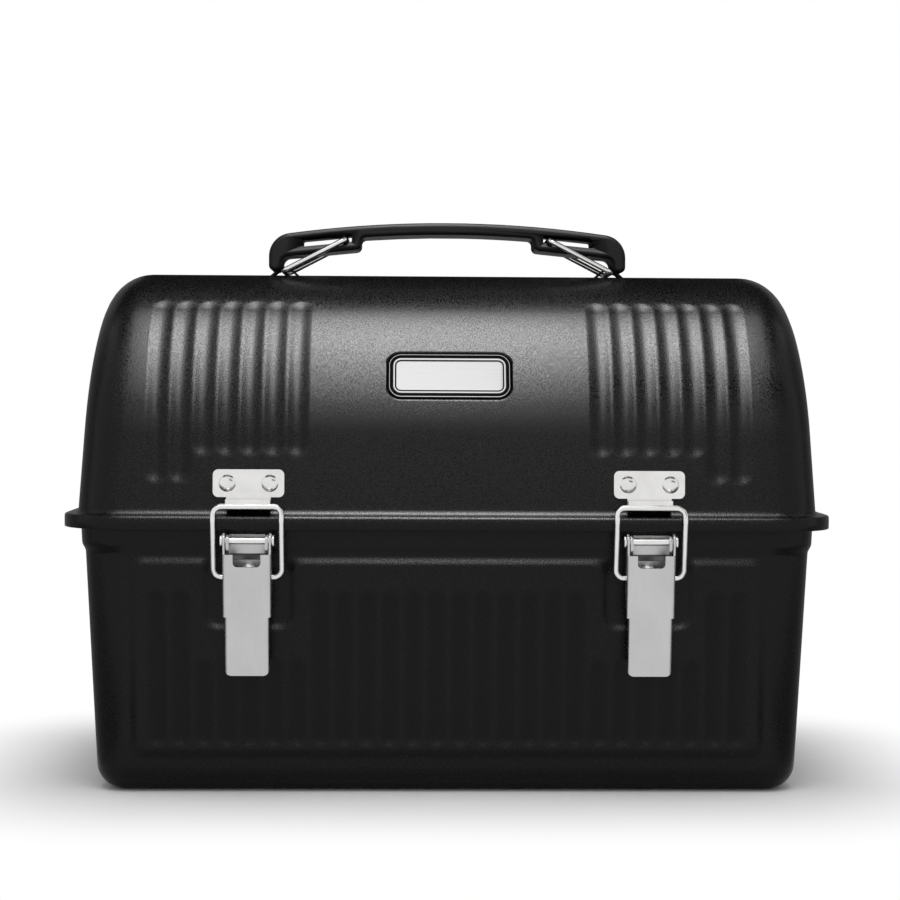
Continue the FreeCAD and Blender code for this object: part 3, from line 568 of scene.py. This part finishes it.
class Vault:
    # the cross-section of the lid: two drafted walls and an arc between them
    def __init__(self, look):
        tilt = math.radians(look["draft"])
        self.tilt = tilt
        halfWidth = look["halfWidth"] - look["flange"]
        slope = math.tan(tilt)
        drop = halfWidth - (look["crown"] - look["flangeTop"]) * slope
        self.radius = drop / (math.cos(tilt) - (1 - math.sin(tilt)) * slope)
        self.centre = look["crown"] - self.radius
        self.base = look["flangeTop"]
        self.halfWidth = halfWidth
        self.wall = (self.centre + self.radius * math.sin(tilt) - self.base) / math.cos(tilt)
        self.total = 2 * self.wall + self.radius * (math.pi - 2 * tilt)

    def at(self, run):
        # (y, z) and the outward (y, z) of a point that far round from the front flange
        if run > self.total / 2:
            (y, z), (ny, nz) = self.at(self.total - run)
            return (-y, z), (-ny, nz)
        if run < self.wall:
            spot = -self.halfWidth + run * math.sin(self.tilt), self.base + run * math.cos(self.tilt)
            return spot, (-math.cos(self.tilt), math.sin(self.tilt))
        angle = self.tilt + (run - self.wall) / self.radius
        return ((-self.radius * math.cos(angle), self.centre + self.radius * math.sin(angle)),
                (-math.cos(angle), math.sin(angle)))

    def angleRun(self, degrees):
        return self.wall + (math.radians(degrees) - self.tilt) * self.radius

    def heightRun(self, z):
        return (z - self.base) / math.cos(self.tilt)


vault = Vault(lidLook)


def lidStations(look):
    pitch, recess = fluteLook["pitch"], look["recessHalfA"]
    first, last = pitch * look["first"], pitch * (fluteLook["last"] + 1)
    return bothSides(spaced(0.0, (recess - 7.45, 3.2), (recess + 2.55, 0.55), (first - 1.6, 4.0),
                            (first, 0.4), (last, pitch / fluteLook["rowsAcross"]), (last + 0.6, 0.3),
                            (last + 2.2, 0.8)))


def lidRow(look, run, stations):
    # points and normals of one line along the lid, from the left end wall to the right one
    (y, z), (ny, nz) = vault.at(run)
    tilt = math.radians(look["endDraft"])
    endNormal = Vector((math.cos(tilt), 0.0, math.sin(tilt)))
    halfLength = look["halfLength"] - look["flange"]
    plane = endNormal.dot(Vector((halfLength, 0.0, look["flangeTop"])))
    normal = Vector((0.0, ny, nz))
    radius, steps = look["endRadius"], look["endSteps"]
    ballY, ballZ = y - radius * ny, z - radius * nz
    ballX = (plane - radius - endNormal.z * ballZ) / endNormal.x
    ball = Vector((ballX, ballY, ballZ))
    right = []
    for i in range(steps + 1):
        way = normal.slerp(endNormal, i / steps)
        right.append((ball + way * radius, way))
    left = [(Vector((-p.x, p.y, p.z)), Vector((-n.x, n.y, n.z))) for p, n in right[::-1]]
    return left + [(Vector((x, y, z)), normal) for x in stations] + right


def lidMarks(look):
    # how far round from the front flange the pressed forms lie
    return {"Flute Low": vault.heightRun(look["fluteLow"]),
            "Flute Short": vault.heightRun(look["fluteShort"]),
            "Flute Top": vault.angleRun(look["fluteTop"]),
            "Badge Run": vault.angleRun(look["badgeAngle"])}


def lidRuns(look, marks):
    # lines round the dome outside and inside, close together where something is pressed
    start = look["root"] / math.cos(vault.tilt)
    low, short = marks["Flute Low"], marks["Flute Short"]
    top, badge = marks["Flute Top"], marks["Badge Run"]
    reach = look["recessHalfB"] + 1.6
    below = [(low - 1, 2.5), (low + 6, 0.9), (short - 1, 2.2), (short + 6, 0.9)]
    recess = [(badge - reach, 2.6), (badge + reach, 0.55)]
    above = [(top - 8, 2.6), (top + 1, 0.9), (vault.total / 2, 3.4)]
    front = spaced(start, *below, *recess, *above)
    back = spaced(start, *below, *above)
    plain = spaced(start, *[(end, look["insideStep"] * step) for end, step in below + recess + above])
    return (front + [vault.total - run for run in back[-2::-1]],
            plain + [vault.total - run for run in plain[-2::-1]])


def brimProfile(look, width):
    # (out from the dome, height) over the flange, round the skirt and back underneath
    sheet, edge, root, low = look["sheet"], look["edge"], look["root"], look["skirtLow"]
    level = look["flangeTop"] + root

    def rootPoint(degrees, radius):
        a = math.radians(degrees)
        return root - radius * math.cos(a), level - radius * math.sin(a)

    def edgePoint(degrees, radius):
        a = math.radians(degrees)
        return width - edge + radius * math.sin(a), level - root - edge + radius * math.cos(a)

    profile = [rootPoint(90 * i / 7, root) for i in range(1, 8)]
    profile += [edgePoint(90 * i / 4, edge) for i in range(5)]
    profile += [(width, low + 0.35), (width - 0.12, low + 0.1), (width - 0.4, low),
                (width - sheet + 0.12, low + 0.1), (width - sheet, low + 0.35)]
    profile += [edgePoint(90 - 90 * i / 3, edge - sheet) for i in range(4)]
    return profile + [rootPoint(90 - 90 * i / 7, root + sheet) for i in range(7)]


def addBrim(look, skin, loop, innerLoop, middle):
    # flange and skirt, swept round the foot of the dome; middle is a point of the straight front
    foot = [Vector(skin.points[i]) for i in loop]
    ways = [Vector((skin.outward[i][0], skin.outward[i][1], 0.0)).normalized() for i in loop]
    brim = []
    for p, way in zip(foot, ways):
        core = Vector((max(-coreX, min(coreX, p.x)), math.copysign(coreY, p.y), 0.0))
        brim.append(core + way * look["corner"])
    width = (brim[middle].xy - foot[middle].xy).length
    rings = [loop]
    count = len(loop)
    for out, z in brimProfile(look, width):
        points = []
        for p, b in zip(foot, brim):
            spot = p.lerp(b, out / width)
            points.append((spot.x, spot.y, z))
        rings.append(skin.row(points, [offFlutes] * count, [0.0] * count, [(0.0, 0.0, 0.0)] * count))
    rings.append(innerLoop)
    skin.bridgeAll(rings[::-1])


def lidSkin(look, marks):
    stations = lidStations(look)
    corner = [offFlutes] * (look["endSteps"] + 1)
    along = [-x for x in corner] + stations + corner
    skin = Skin()

    def sheetRows(runs, inset):
        rows = []
        for run in runs:
            line = lidRow(look, run, stations)
            rows.append(skin.row([p - n * inset for p, n in line], along, [run] * len(line),
                                 [n for p, n in line]))
        return rows

    outerRuns, innerRuns = lidRuns(look, marks)
    outer = sheetRows(outerRuns, 0.0)
    inner = sheetRows(innerRuns, look["sheet"])
    skin.bridgeAll(outer, closed=False)
    skin.bridgeAll(inner[::-1], closed=False)
    skin.faces.append(tuple(row[-1] for row in outer))   # flat end walls
    skin.faces.append(tuple(row[0] for row in outer[::-1]))
    skin.faces.append(tuple(row[-1] for row in inner[::-1]))
    skin.faces.append(tuple(row[0] for row in inner))
    addBrim(look, skin, outer[0] + outer[-1][::-1], inner[0] + inner[-1][::-1], len(stations) // 2)
    return skin


def pressLid(look, marks):
    # flutes front and back, and the flat recess of the badge at the front
    inputs = floats((*fluteNames, *lidNames, *marks, "Total", "Vault Radius"))
    start, size = newTree("pressLid", {**inputs, "Badge Facing": "Vector"})
    along = attribute(start, "along")
    run = attribute(start, "run")
    rise = run.math("MINIMUM", size["Total"] - run)
    low = size["Flute Low"] + nearLatch(along, size) * (size["Flute Short"] - size["Flute Low"])
    depth = fluteDepth(along, rise, low, size["Flute Top"], size)
    outward = attribute(start, "outward", "FLOAT_VECTOR")
    shape = moveAlong(start, size["Geometry"], outward, depth * -1.0)
    turn = (run - size["Badge Run"]) / size["Vault Radius"]
    inside = roundedInside(along, turn.math("SINE") * size["Vault Radius"], size["Recess Half A"],
                           size["Recess Half B"], size["Recess Corner"])
    sink = size["Recess Depth"] - (1.0 - turn.math("COSINE")) * size["Vault Radius"]
    atFront = turn.math("COSINE").math("GREATER_THAN", 0.5)
    mask = inside.smooth(*look["recessEdge"]) * atFront
    shape = moveAlong(start, shape, size["Badge Facing"], sink * mask * -1.0)
    return closeTree(start, shape, size["Finish"])


def makeLid(look):
    marks = lidMarks(look)
    tilt = math.radians(look["badgeAngle"])
    values = {**lookValues(fluteLook, fluteNames), **lookValues(look, lidNames), **marks,
              "Total": vault.total, "Vault Radius": vault.radius,
              "Badge Facing": (0.0, -math.cos(tilt), math.sin(tilt)), "Finish": blackEnamel}
    return runTree(lidSkin(look, marks).object("lidShell"), pressLid(look, marks), values)


tubShell = settle(makeTub(tubLook), "tub", "black_enamel", "body_tub")
lidShell = settle(makeLid(lidLook), "lid", "black_enamel", "lid_shell")
for shell in (tubShell, lidShell):
    smoothShade(shell.data, boxLook["smooth"])
    for name in ("along", "run", "outward"):
        shell.data.attributes.remove(shell.data.attributes[name])
print("shells pressed:", len(tubShell.data.polygons), len(lidShell.data.polygons), "faces")


# badge, drawn in its recess: (inset, height, dark) rings from the outside in; dark rings take the ink, and
# the first three are painted shade on the plate's outer side wall

badgeLook = {"halfA": 25.6, "halfB": 9.75, "corner": 5.2, "leastCorner": 0.6, "steps": 12, "smooth": 40,
             "rings": [(0.0, 0.0, 1), (0.0, 0.95, 1), (0.08, 1.2, 1), (0.20, 1.34, 0), (0.34, 1.34, 0),
                       (0.42, 1.2, 0), (0.46, 0.9, 1), (1.72, 0.9, 1), (1.78, 1.2, 0), (1.92, 1.38, 0),
                       (2.46, 1.38, 0), (2.60, 1.2, 0), (2.64, 1.0, 1), (3.06, 1.0, 1), (3.10, 1.2, 0),
                       (3.26, 1.36, 0), (3.6, 1.4, 0)]}


def makeBadge(look):
    shape = bmesh.new()
    floor = vault.radius - lidLook["recessDepth"]
    turn = Matrix.Rotation(math.radians(-lidLook["badgeAngle"]), 4, "X")
    steps = look["steps"]
    loops = []
    for inset, height, dark in look["rings"]:
        radius = max(look["corner"] - inset, look["leastCorner"])
        a, b = look["halfA"] - inset - radius, look["halfB"] - inset - radius
        loop = []
        for corner, (sx, sz) in enumerate(((1, 1), (-1, 1), (-1, -1), (1, -1))):
            for i in range(steps + 1):
                angle = math.radians(90 * corner + 90 * i / steps)
                spot = Vector((sx * a + radius * math.cos(angle), -(floor + height),
                               sz * b + radius * math.sin(angle)))
                spot = turn @ spot + Vector((0.0, 0.0, vault.centre))
                loop.append(shape.verts.new(spot * mm))
        loops.append(loop)
    for outer, inner, (inset, height, dark) in zip(loops, loops[1:], look["rings"][1:]):
        for i in range(len(outer)):
            j = (i + 1) % len(outer)
            face = shape.faces.new((outer[i], outer[j], inner[j], inner[i]))
            face.material_index = dark
    shape.faces.new(loops[-1])
    shape.faces.new(loops[0][::-1])
    bmesh.ops.recalc_face_normals(shape, faces=shape.faces)
    mesh = meshOf("badge", shape)
    mesh.materials.append(badgeMetal)
    mesh.materials.append(badgeInkAndShade)
    smoothShade(mesh, look["smooth"])
    return newObject("badge", mesh)


settle(makeBadge(badgeLook), "lid", "badge_metal", "badge_plate")
print("badge set")


# rivets: one turned shape on every rivet point

rivetLook = {"head": 3.6, "rise": 1.7, "shank": 1.6, "stack": 2.0, "tail": 2.7, "tailRise": 0.9,
             "sides": 28, "domeSteps": 8, "smooth": 45}


def turnedRivet(look):
    head, rise, sides, steps = look["head"], look["rise"], look["sides"], look["domeSteps"]
    shank, tail, low = look["shank"], look["tail"], -look["stack"]
    ball = (head ** 2 + rise ** 2) / (2 * rise)
    lean = math.asin(head / ball)
    profile = []
    for i in range(steps):
        a = lean * (i + 1) / steps
        profile.append((ball * math.sin(a), rise - ball * (1 - math.cos(a))))
    profile += [(head - 0.05, -0.02), (shank, -0.02), (shank, low), (tail, low - 0.1),
                (tail - 0.05, low - 0.5), (tail * 0.7, low - look["tailRise"])]
    shape = bmesh.new()
    rings = []
    for radius, z in profile:
        ring = []
        for i in range(sides):
            a = 2 * math.pi * i / sides
            ring.append(shape.verts.new(Vector((radius * math.cos(a), radius * math.sin(a), z)) * mm))
        rings.append(ring)
    for upper, lower in zip(rings, rings[1:]):
        for i in range(sides):
            j = (i + 1) % sides
            shape.faces.new((upper[i], lower[i], lower[j], upper[j]))
    crown = shape.verts.new((0.0, 0.0, rise * mm))
    for i in range(sides):
        shape.faces.new((crown, rings[0][i], rings[0][(i + 1) % sides]))
    shape.faces.new(rings[-1][::-1])
    mesh = meshOf("turnedRivet", shape)
    smoothShade(mesh, look["smooth"])
    return newObject("turnedRivet", mesh)


def rivetTree():
    start, size = newTree("setRivets", {"Rivet": "Object"})
    rivet = start.node("GeometryNodeObjectInfo", values={"Object": size["Rivet"]}, out="Geometry")
    turn = start.node("FunctionNodeAlignRotationToVector", {"axis": "Z"},
                      {"Vector": attribute(start, "facing", "FLOAT_VECTOR")})
    spread = start.node("GeometryNodeInstanceOnPoints",
                        values={"Points": size["Geometry"], "Instance": rivet, "Rotation": turn})
    return closeTree(start, spread, size["Finish"])


def onWall(base, tilt, x, out, up, back):
    # a point and its facing on a drafted wall; tilt is positive where the wall leans out
    a = math.radians(tilt)
    y = -base - out * math.cos(a) - up * math.sin(a)
    z = -out * math.sin(a) + up * math.cos(a)
    side = -1 if back else 1
    return Vector((side * x, side * y, z)), Vector((0.0, -side * math.cos(a), -math.sin(a)))


# heights, places along the box, and the thickness of the plate under the heads
rivetPlaces = {"plate": 1.2, "catchUp": 131.6, "catchApart": 17.8, "baseUp": (85.0, 95.5),
               "hingeApart": 18.0, "hingeTubUp": 88.0, "hingeLidUp": 136.0, "bailUp": 139.0, "bailX": 57.0}
tubSlope = math.tan(math.radians(tubLook["draft"]))
tubFoot = tubLook["halfWidth"] - tubLook["wallInset"] - tubLook["rim"] * tubSlope
latchX = fluteLook["latchX"]


def tubSpot(x, up, back):
    return onWall(tubFoot, tubLook["draft"], x, rivetPlaces["plate"], up, back)


def lidSpot(x, up, out, back):
    spot, facing = onWall(vault.halfWidth, -lidLook["draft"], x, out, up - vault.base, back)
    return spot + Vector((0.0, 0.0, vault.base)), facing


def pair(apart):
    return [sign * latchX + side * apart / 2 for sign in (-1, 1) for side in (-1, 1)]


def rivetRows(look):
    plate, bail = look["plate"], look["bailX"]
    catches, hinges = pair(look["catchApart"]), pair(look["hingeApart"])
    return {"catch_rivets": ("lid", [lidSpot(x, look["catchUp"], plate, False) for x in catches]),
            "latch_base_rivets": ("tub", [tubSpot(x, up, False) for x in (-latchX, latchX)
                                          for up in look["baseUp"]]),
            "hinge_body_rivets": ("tub", [tubSpot(x, look["hingeTubUp"], True) for x in hinges]),
            "hinge_lid_rivets": ("lid", [lidSpot(x, look["hingeLidUp"], plate, True) for x in hinges]),
            "bail_rivets": ("lid", [lidSpot(x, look["bailUp"], 0.0, True) for x in (-bail, bail)])}


rivet = turnedRivet(rivetLook)
setRivets = rivetTree()
for node, (body, spots) in rivetRows(rivetPlaces).items():
    mesh = bpy.data.meshes.new(node)
    mesh.from_pydata([spot * mm for spot, facing in spots], [], [])
    storeVectors(mesh, "facing", [facing for spot, facing in spots])
    piece = newObject(camel(node), mesh)
    runTree(piece, setRivets, {"Rivet": rivet, "Finish": brightNickel})
    settle(piece, body, "bright_nickel", node)
bpy.data.objects.remove(rivet)
print("rivets set")


# bent wire: loops, links and the bottle bail, each a line of points that the tree rounds and thickens

wireLook = {"sides": 20, "bendSteps": 10, "smooth": 50}


def wireTree():
    start, size = newTree("bendWire", {"Radius": "Float", "Sides": "Int", "Bend Steps": "Int"})
    line = start.node("GeometryNodeMeshToCurve", values={0: size["Geometry"]})
    bent = start.node("GeometryNodeFilletCurve", {"mode": "POLY"},
                      {"Curve": line, "Count": size["Bend Steps"], "Radius": attribute(start, "bend")})
    ring = start.node("GeometryNodeCurvePrimitiveCircle",
                      values={"Resolution": size["Sides"], "Radius": size["Radius"]})
    skin = start.node("GeometryNodeCurveToMesh",
                      values={"Curve": bent, "Profile Curve": ring, "Fill Caps": True})
    return closeTree(start, skin, size["Finish"])


bendWire = wireTree()


def makeWire(node, points, bends, radius, closed=False):
    name = camel(node)
    mesh = bpy.data.meshes.new(name)
    count = len(points)
    edges = [(i, i + 1) for i in range(count - 1)] + ([(count - 1, 0)] if closed else [])
    mesh.from_pydata([Vector(p) * mm for p in points], edges, [])
    storeNumbers(mesh, "bend", [b * mm for b in bends])
    piece = runTree(newObject(name, mesh), bendWire,
                    {"Radius": radius * mm, "Sides": wireLook["sides"],
                     "Bend Steps": wireLook["bendSteps"], "Finish": brightNickel})
    smoothShade(piece.data, wireLook["smooth"])
    return piece


# places along the box from the wire's middle, and (y, z) places
loopLook = {"radius": 1.2, "endX": 8.2, "legX": 14.2, "pivot": (-79.234, 92.759), "knee": (-83.8, 116.9),
            "bar": (-82.150, 122.2), "bends": [0.0, 3.5, 5.0, 3.5]}
bailLook = {"radius": 1.5, "endX": 63.5, "legX": 46.0, "pivot": (66.083, 129.0), "bar": (-29.917, 129.0),
            "bends": [0.0, 5.0, 5.0]}
linkLook = {"radius": 1.2, "low": (73.3, 224.0), "high": (45.6, 238.29), "halfWidth": 14.0, "bend": 2.5}


def openWire(node, look, middle, stops):
    # ends turned in at the pivot, legs through the stops, and a bar across
    half = [(look["endX"], *look["pivot"])] + [(look["legX"], *look[stop]) for stop in stops]
    points = half + [(-x, y, z) for x, y, z in half[::-1]]
    return makeWire(node, [(x + middle, y, z) for x, y, z in points], look["bends"] + look["bends"][::-1],
                    look["radius"])


def linkWire(node, look, sign):
    # a closed frame that leans in from the lid to the grip
    low, high = ((sign * x, z) for x, z in (look["low"], look["high"]))
    half = look["halfWidth"]
    points = [(x, y, z) for y, ends in ((half, (low, high)), (-half, (high, low))) for x, z in ends]
    return makeWire(node, points, [look["bend"]] * len(points), look["radius"], closed=True)


for side, sign in (("left", -1), ("right", 1)):
    loop = openWire("latch_loop_" + side, loopLook, sign * latchX, ("pivot", "knee", "bar"))
    settle(loop, "loop_" + side, "bright_nickel", "latch_loop_" + side)
    link = linkWire("handle_link_" + side, linkLook, sign)
    settle(link, "link_" + side, "bright_nickel", "handle_link_" + side)
bail = openWire("bottle_bail", bailLook, 0.0, ("pivot", "bar"))
settle(bail, "bail", "bright_nickel", "bottle_bail")
print("wires bent")


# stamped and moulded pieces: the CAD shape with its edges broken

breakLook = {"merge": 0.002, "flatAngle": 1.0, "sharpAngle": 32, "segments": 2, "gripSmooth": 40}
edgeLook = {"catch_plate": (0.28, brightNickel, "bright_nickel", "lid"),
            "latch_base": (0.25, satinSteel, "satin_steel", "tub"),
            "lever_pin": (0.25, brightNickel, "bright_nickel", "tub"),
            "latch_lever": (0.28, satinSteel, "satin_steel", "lever_"),
            "hinge_body_leaf": (0.25, satinSteel, "satin_steel", "tub"),
            "hinge_lid_leaf": (0.25, satinSteel, "satin_steel", "lid"),
            "hinge_pin": (0.25, brightNickel, "bright_nickel", "tub"),
            "handle_staple": (0.18, blackEnamel, "black_enamel", "lid"),
            "bail_clip": (0.25, satinSteel, "satin_steel", "lid")}


def brokenEdges(node, width, finish, look):
    shape = bmesh.new()
    shape.from_mesh(frame["nodes"][node].data)
    bmesh.ops.remove_doubles(shape, verts=shape.verts, dist=look["merge"] * mm)
    bmesh.ops.dissolve_limit(shape, angle_limit=math.radians(look["flatAngle"]), verts=shape.verts,
                             edges=shape.edges)
    bmesh.ops.triangulate(shape, faces=shape.faces)   # a large face would fold at its bevelled corners
    mesh = meshOf(camel(node), shape)
    mesh.materials.clear()
    mesh.materials.append(finish)
    mesh.polygons.foreach_set("material_index", [0] * len(mesh.polygons))
    mesh.shade_smooth()
    piece = newObject(camel(node), mesh)
    if width:
        bevel = piece.modifiers.new("edges", "BEVEL")
        bevel.width = width * mm
        bevel.segments = look["segments"]
        bevel.limit_method = "ANGLE"
        bevel.angle_limit = math.radians(look["sharpAngle"])
        bevel.harden_normals = True
    weigh = piece.modifiers.new("weigh", "WEIGHTED_NORMAL")
    weigh.keep_sharp = True
    return plainMesh(piece)


for kind, (width, finish, slot, body) in edgeLook.items():
    for side in ("left", "right"):
        node = kind + "_" + side
        piece = brokenEdges(node, width, finish, breakLook)
        settle(piece, body + side if body.endswith("_") else body, slot, node)
grip = brokenEdges("handle_grip", 0.0, gripPlastic, breakLook)   # its edges are round already
smoothShade(grip.data, breakLook["gripSmooth"])
settle(grip, "grip", "grip_plastic", "handle_grip")
print("stamped pieces done")


# stage, in metres: floor, flags, world, lamps and camera

stageLook = {"floorHalf": 3.0, "white": 1.0, "ambient": 0.50, "shadowReach": 110.0,   # in millimetres
             "dust": ((0.88, 0.88, 0.88, 1), (0.92, 0.92, 0.92, 1)), "dustScale": 30.0,
             "floorRoughness": 0.7, "floorGloss": 0.1}


def stageSheet(name, corners):
    mesh = bpy.data.meshes.new(name)
    mesh.from_pydata(corners, [], [(0, 1, 2, 3)])
    sheet = newObject(name, mesh)
    return sheet


def seenDirectly(start):
    # 1 for what the camera, a reflection or a clear piece shows, 0 for light on the object
    rays = start.node("ShaderNodeLightPath").socket.node
    camera, glossy, clear = (Wire(start.tree, rays.outputs["Is %s Ray" % kind])
                             for kind in ("Camera", "Glossy", "Transmission"))
    return camera.math("MAXIMUM", glossy).math("MAXIMUM", clear)


def makeFloor(look):
    # white where it is seen, apart from the shadow near the box
    half = look["floorHalf"]
    floor = stageSheet("floor", [(-half, -half, 0), (half, -half, 0), (half, half, 0), (-half, half, 0)])
    finish, shader, place = newFinish("paleFloor")
    dust = grain(place, look["dustScale"])
    place.fill(shader, {"Base Color": dust.mixed(*look["dust"]), "Roughness": look["floorRoughness"],
                        "Specular IOR Level": look["floorGloss"]})
    spot = place.node("ShaderNodeSeparateXYZ", values={0: place}).socket.node.outputs
    across, deep = (Wire(place.tree, spot[i]) / mm for i in (0, 1))
    foot = tubLook["wallInset"] + tubLook["foot"]
    inside = roundedInside(across, deep, tubLook["halfLength"] - foot, tubLook["halfWidth"] - foot, foot)
    away = (inside * -1.0).smooth(0.0, look["shadowReach"])
    glow = place.node("ShaderNodeEmission", values={"Color": (1, 1, 1, 1), "Strength": look["white"]})
    lit = Wire(place.tree, shader.outputs[0])
    both = place.node("ShaderNodeMixShader", values={0: seenDirectly(place) * away, 1: lit, 2: glow})
    place.fill(place.tree.nodes["Material Output"], {"Surface": both})
    floor.data.materials.append(finish)


def makeWorld(look):
    world = bpy.data.worlds.new("studio")
    world.use_nodes = True
    bpy.context.scene.world = world
    start = Wire(world.node_tree)
    strength = look["ambient"] + seenDirectly(start) * (look["white"] - look["ambient"])
    start.fill(world.node_tree.nodes["Background"], {"Color": (1, 1, 1, 1), "Strength": strength})


# seen only in the gloss: black flags behind, at the right and above, grey screens round the ends
flagLook = {"flags": [((-1.6, 0.9, 0.0), (1.6, 0.9, 2.4)), ((0.30, -1.0, 0.80), (1.6, -1.0, 1.3)),
                      ((-1.2, -0.40, 1.6), (1.2, 0.9, 1.6))],
            "screens": [((-0.8, 0.0, 0.0), (-0.3, 0.85, 0.6)), ((0.8, 0.0, 0.0), (0.3, 0.85, 0.6)),
                        ((-0.9, -0.2, 0.001), (-0.185, 0.8, 0.001)),
                        ((0.185, -0.2, 0.001), (0.9, 0.8, 0.001))],
            "glow": {"flags": 0.0, "screens": 0.27}, "weaveScale": 200.0,
            "cloth": ((0.001, 0.001, 0.001, 1), (0.003, 0.003, 0.003, 1)),
            "light": ((0.95, 0.95, 0.95, 1), (1, 1, 1, 1))}


def flagCloth(name, look):
    finish, shader, place = newFinish(name)
    weave = grain(place, look["weaveScale"])
    place.fill(shader, {"Base Color": weave.mixed(*look["cloth"]), "Roughness": 1.0,
                        "Specular IOR Level": 0.0, "Emission Color": weave.mixed(*look["light"]),
                        "Emission Strength": look["glow"][name]})
    return finish


def makeFlags(look):
    for kind in ("flags", "screens"):
        cloth = flagCloth(kind, look)
        for (x, y, low), (farX, farY, top) in look[kind]:
            if low == top:
                corners = [(x, y, low), (farX, y, low), (farX, farY, low), (x, farY, low)]
            else:
                corners = [(x, y, low), (farX, farY, low), (farX, farY, top), (x, y, top)]
            flag = stageSheet(kind, corners)
            flag.data.materials.append(cloth)
            flag.visible_camera = flag.visible_diffuse = flag.visible_shadow = False


# size, place, strength and use: one lamp is for the colours, the others only add gloss to a finish
lampLook = {"overhead": ((0.86, 0.70), (0.0, -0.37, 1.15), 2.65, "colour"),
            "glint": ((0.60, 0.30), (-0.1, -0.50, 1.02), 2.8, "metal"),
            "sideFill": ((0.84, 1.70), (0.0, -0.75, 1.12), 5.0, "enamel")}
# (back, front, width, strength) of the strips that make the sheen of the dome, and their height
stripLook = {"height": 1.08,
             "strips": [(0.06, -0.08, 0.40, 15.0), (-0.08, -0.22, 0.40, 25.0), (-0.22, -0.60, 0.40, 33.0),
                        (-0.60, -0.95, 0.40, 25.0), (-0.95, -1.60, 0.40, 14.5), (-1.60, -3.00, 0.40, 10.0),
                        (-3.00, -6.00, 2.40, 1.6)]}


def lampGroup(name, finishes):
    group = bpy.data.collections.new(name)
    for piece in bpy.context.scene.objects:
        if piece.type == "MESH" and piece.data.materials and piece.data.materials[0] in finishes:
            group.objects.link(piece)
    return group


def makeLamps(look, strips):
    groups = {"enamel": lampGroup("dark", [blackEnamel, gripPlastic]),
              "metal": lampGroup("bright", [satinSteel, brightNickel])}
    lamps = dict(look)
    for i, (back, front, width, strength) in enumerate(strips["strips"]):
        place = (0.0, (back + front) / 2, strips["height"])
        lamps["strip%d" % i] = ((width, back - front), place, strength, "enamel")
    for name, (size, place, strength, use) in lamps.items():
        lamp = bpy.data.lights.new(name, "AREA")
        lamp.shape = "RECTANGLE"
        lamp.size, lamp.size_y = size
        lamp.energy = strength * math.pi * lamp.size * lamp.size_y
        top = newObject(name, lamp)
        top.location = place
        top.visible_diffuse = use == "colour"
        top.visible_glossy = not top.visible_diffuse
        if top.visible_glossy:
            top.light_linking.receiver_collection = groups[use]


cameraLook = {"distance": 0.900, "height": 0.171, "azimuth": -1.15, "yaw": 1.266, "pitch": -1.743,
              "roll": 0.30, "lens": 78.9, "sensor": 36.0}


def makeCamera(look):
    lens = bpy.data.cameras.new("photoView")
    lens.lens = look["lens"]
    lens.sensor_width = look["sensor"]
    camera = newObject("photoView", lens)
    turn, distance = math.radians(look["azimuth"]), look["distance"]
    camera.location = (distance * math.sin(turn), -distance * math.cos(turn), look["height"])
    yaw = Matrix.Rotation(math.radians(-look["yaw"]), 4, "Z")
    pitch = Matrix.Rotation(math.radians(90 + look["pitch"]), 4, "X")
    roll = Matrix.Rotation(math.radians(look["roll"]), 4, "Z")
    camera.rotation_euler = (yaw @ pitch @ roll).to_euler()
    bpy.context.scene.camera = camera


makeFloor(stageLook)
makeFlags(flagLook)
makeWorld(stageLook)
makeLamps(lampLook, stripLook)
makeCamera(cameraLook)
bpy.context.scene.view_settings.view_transform = "Standard"
print("stage ready")
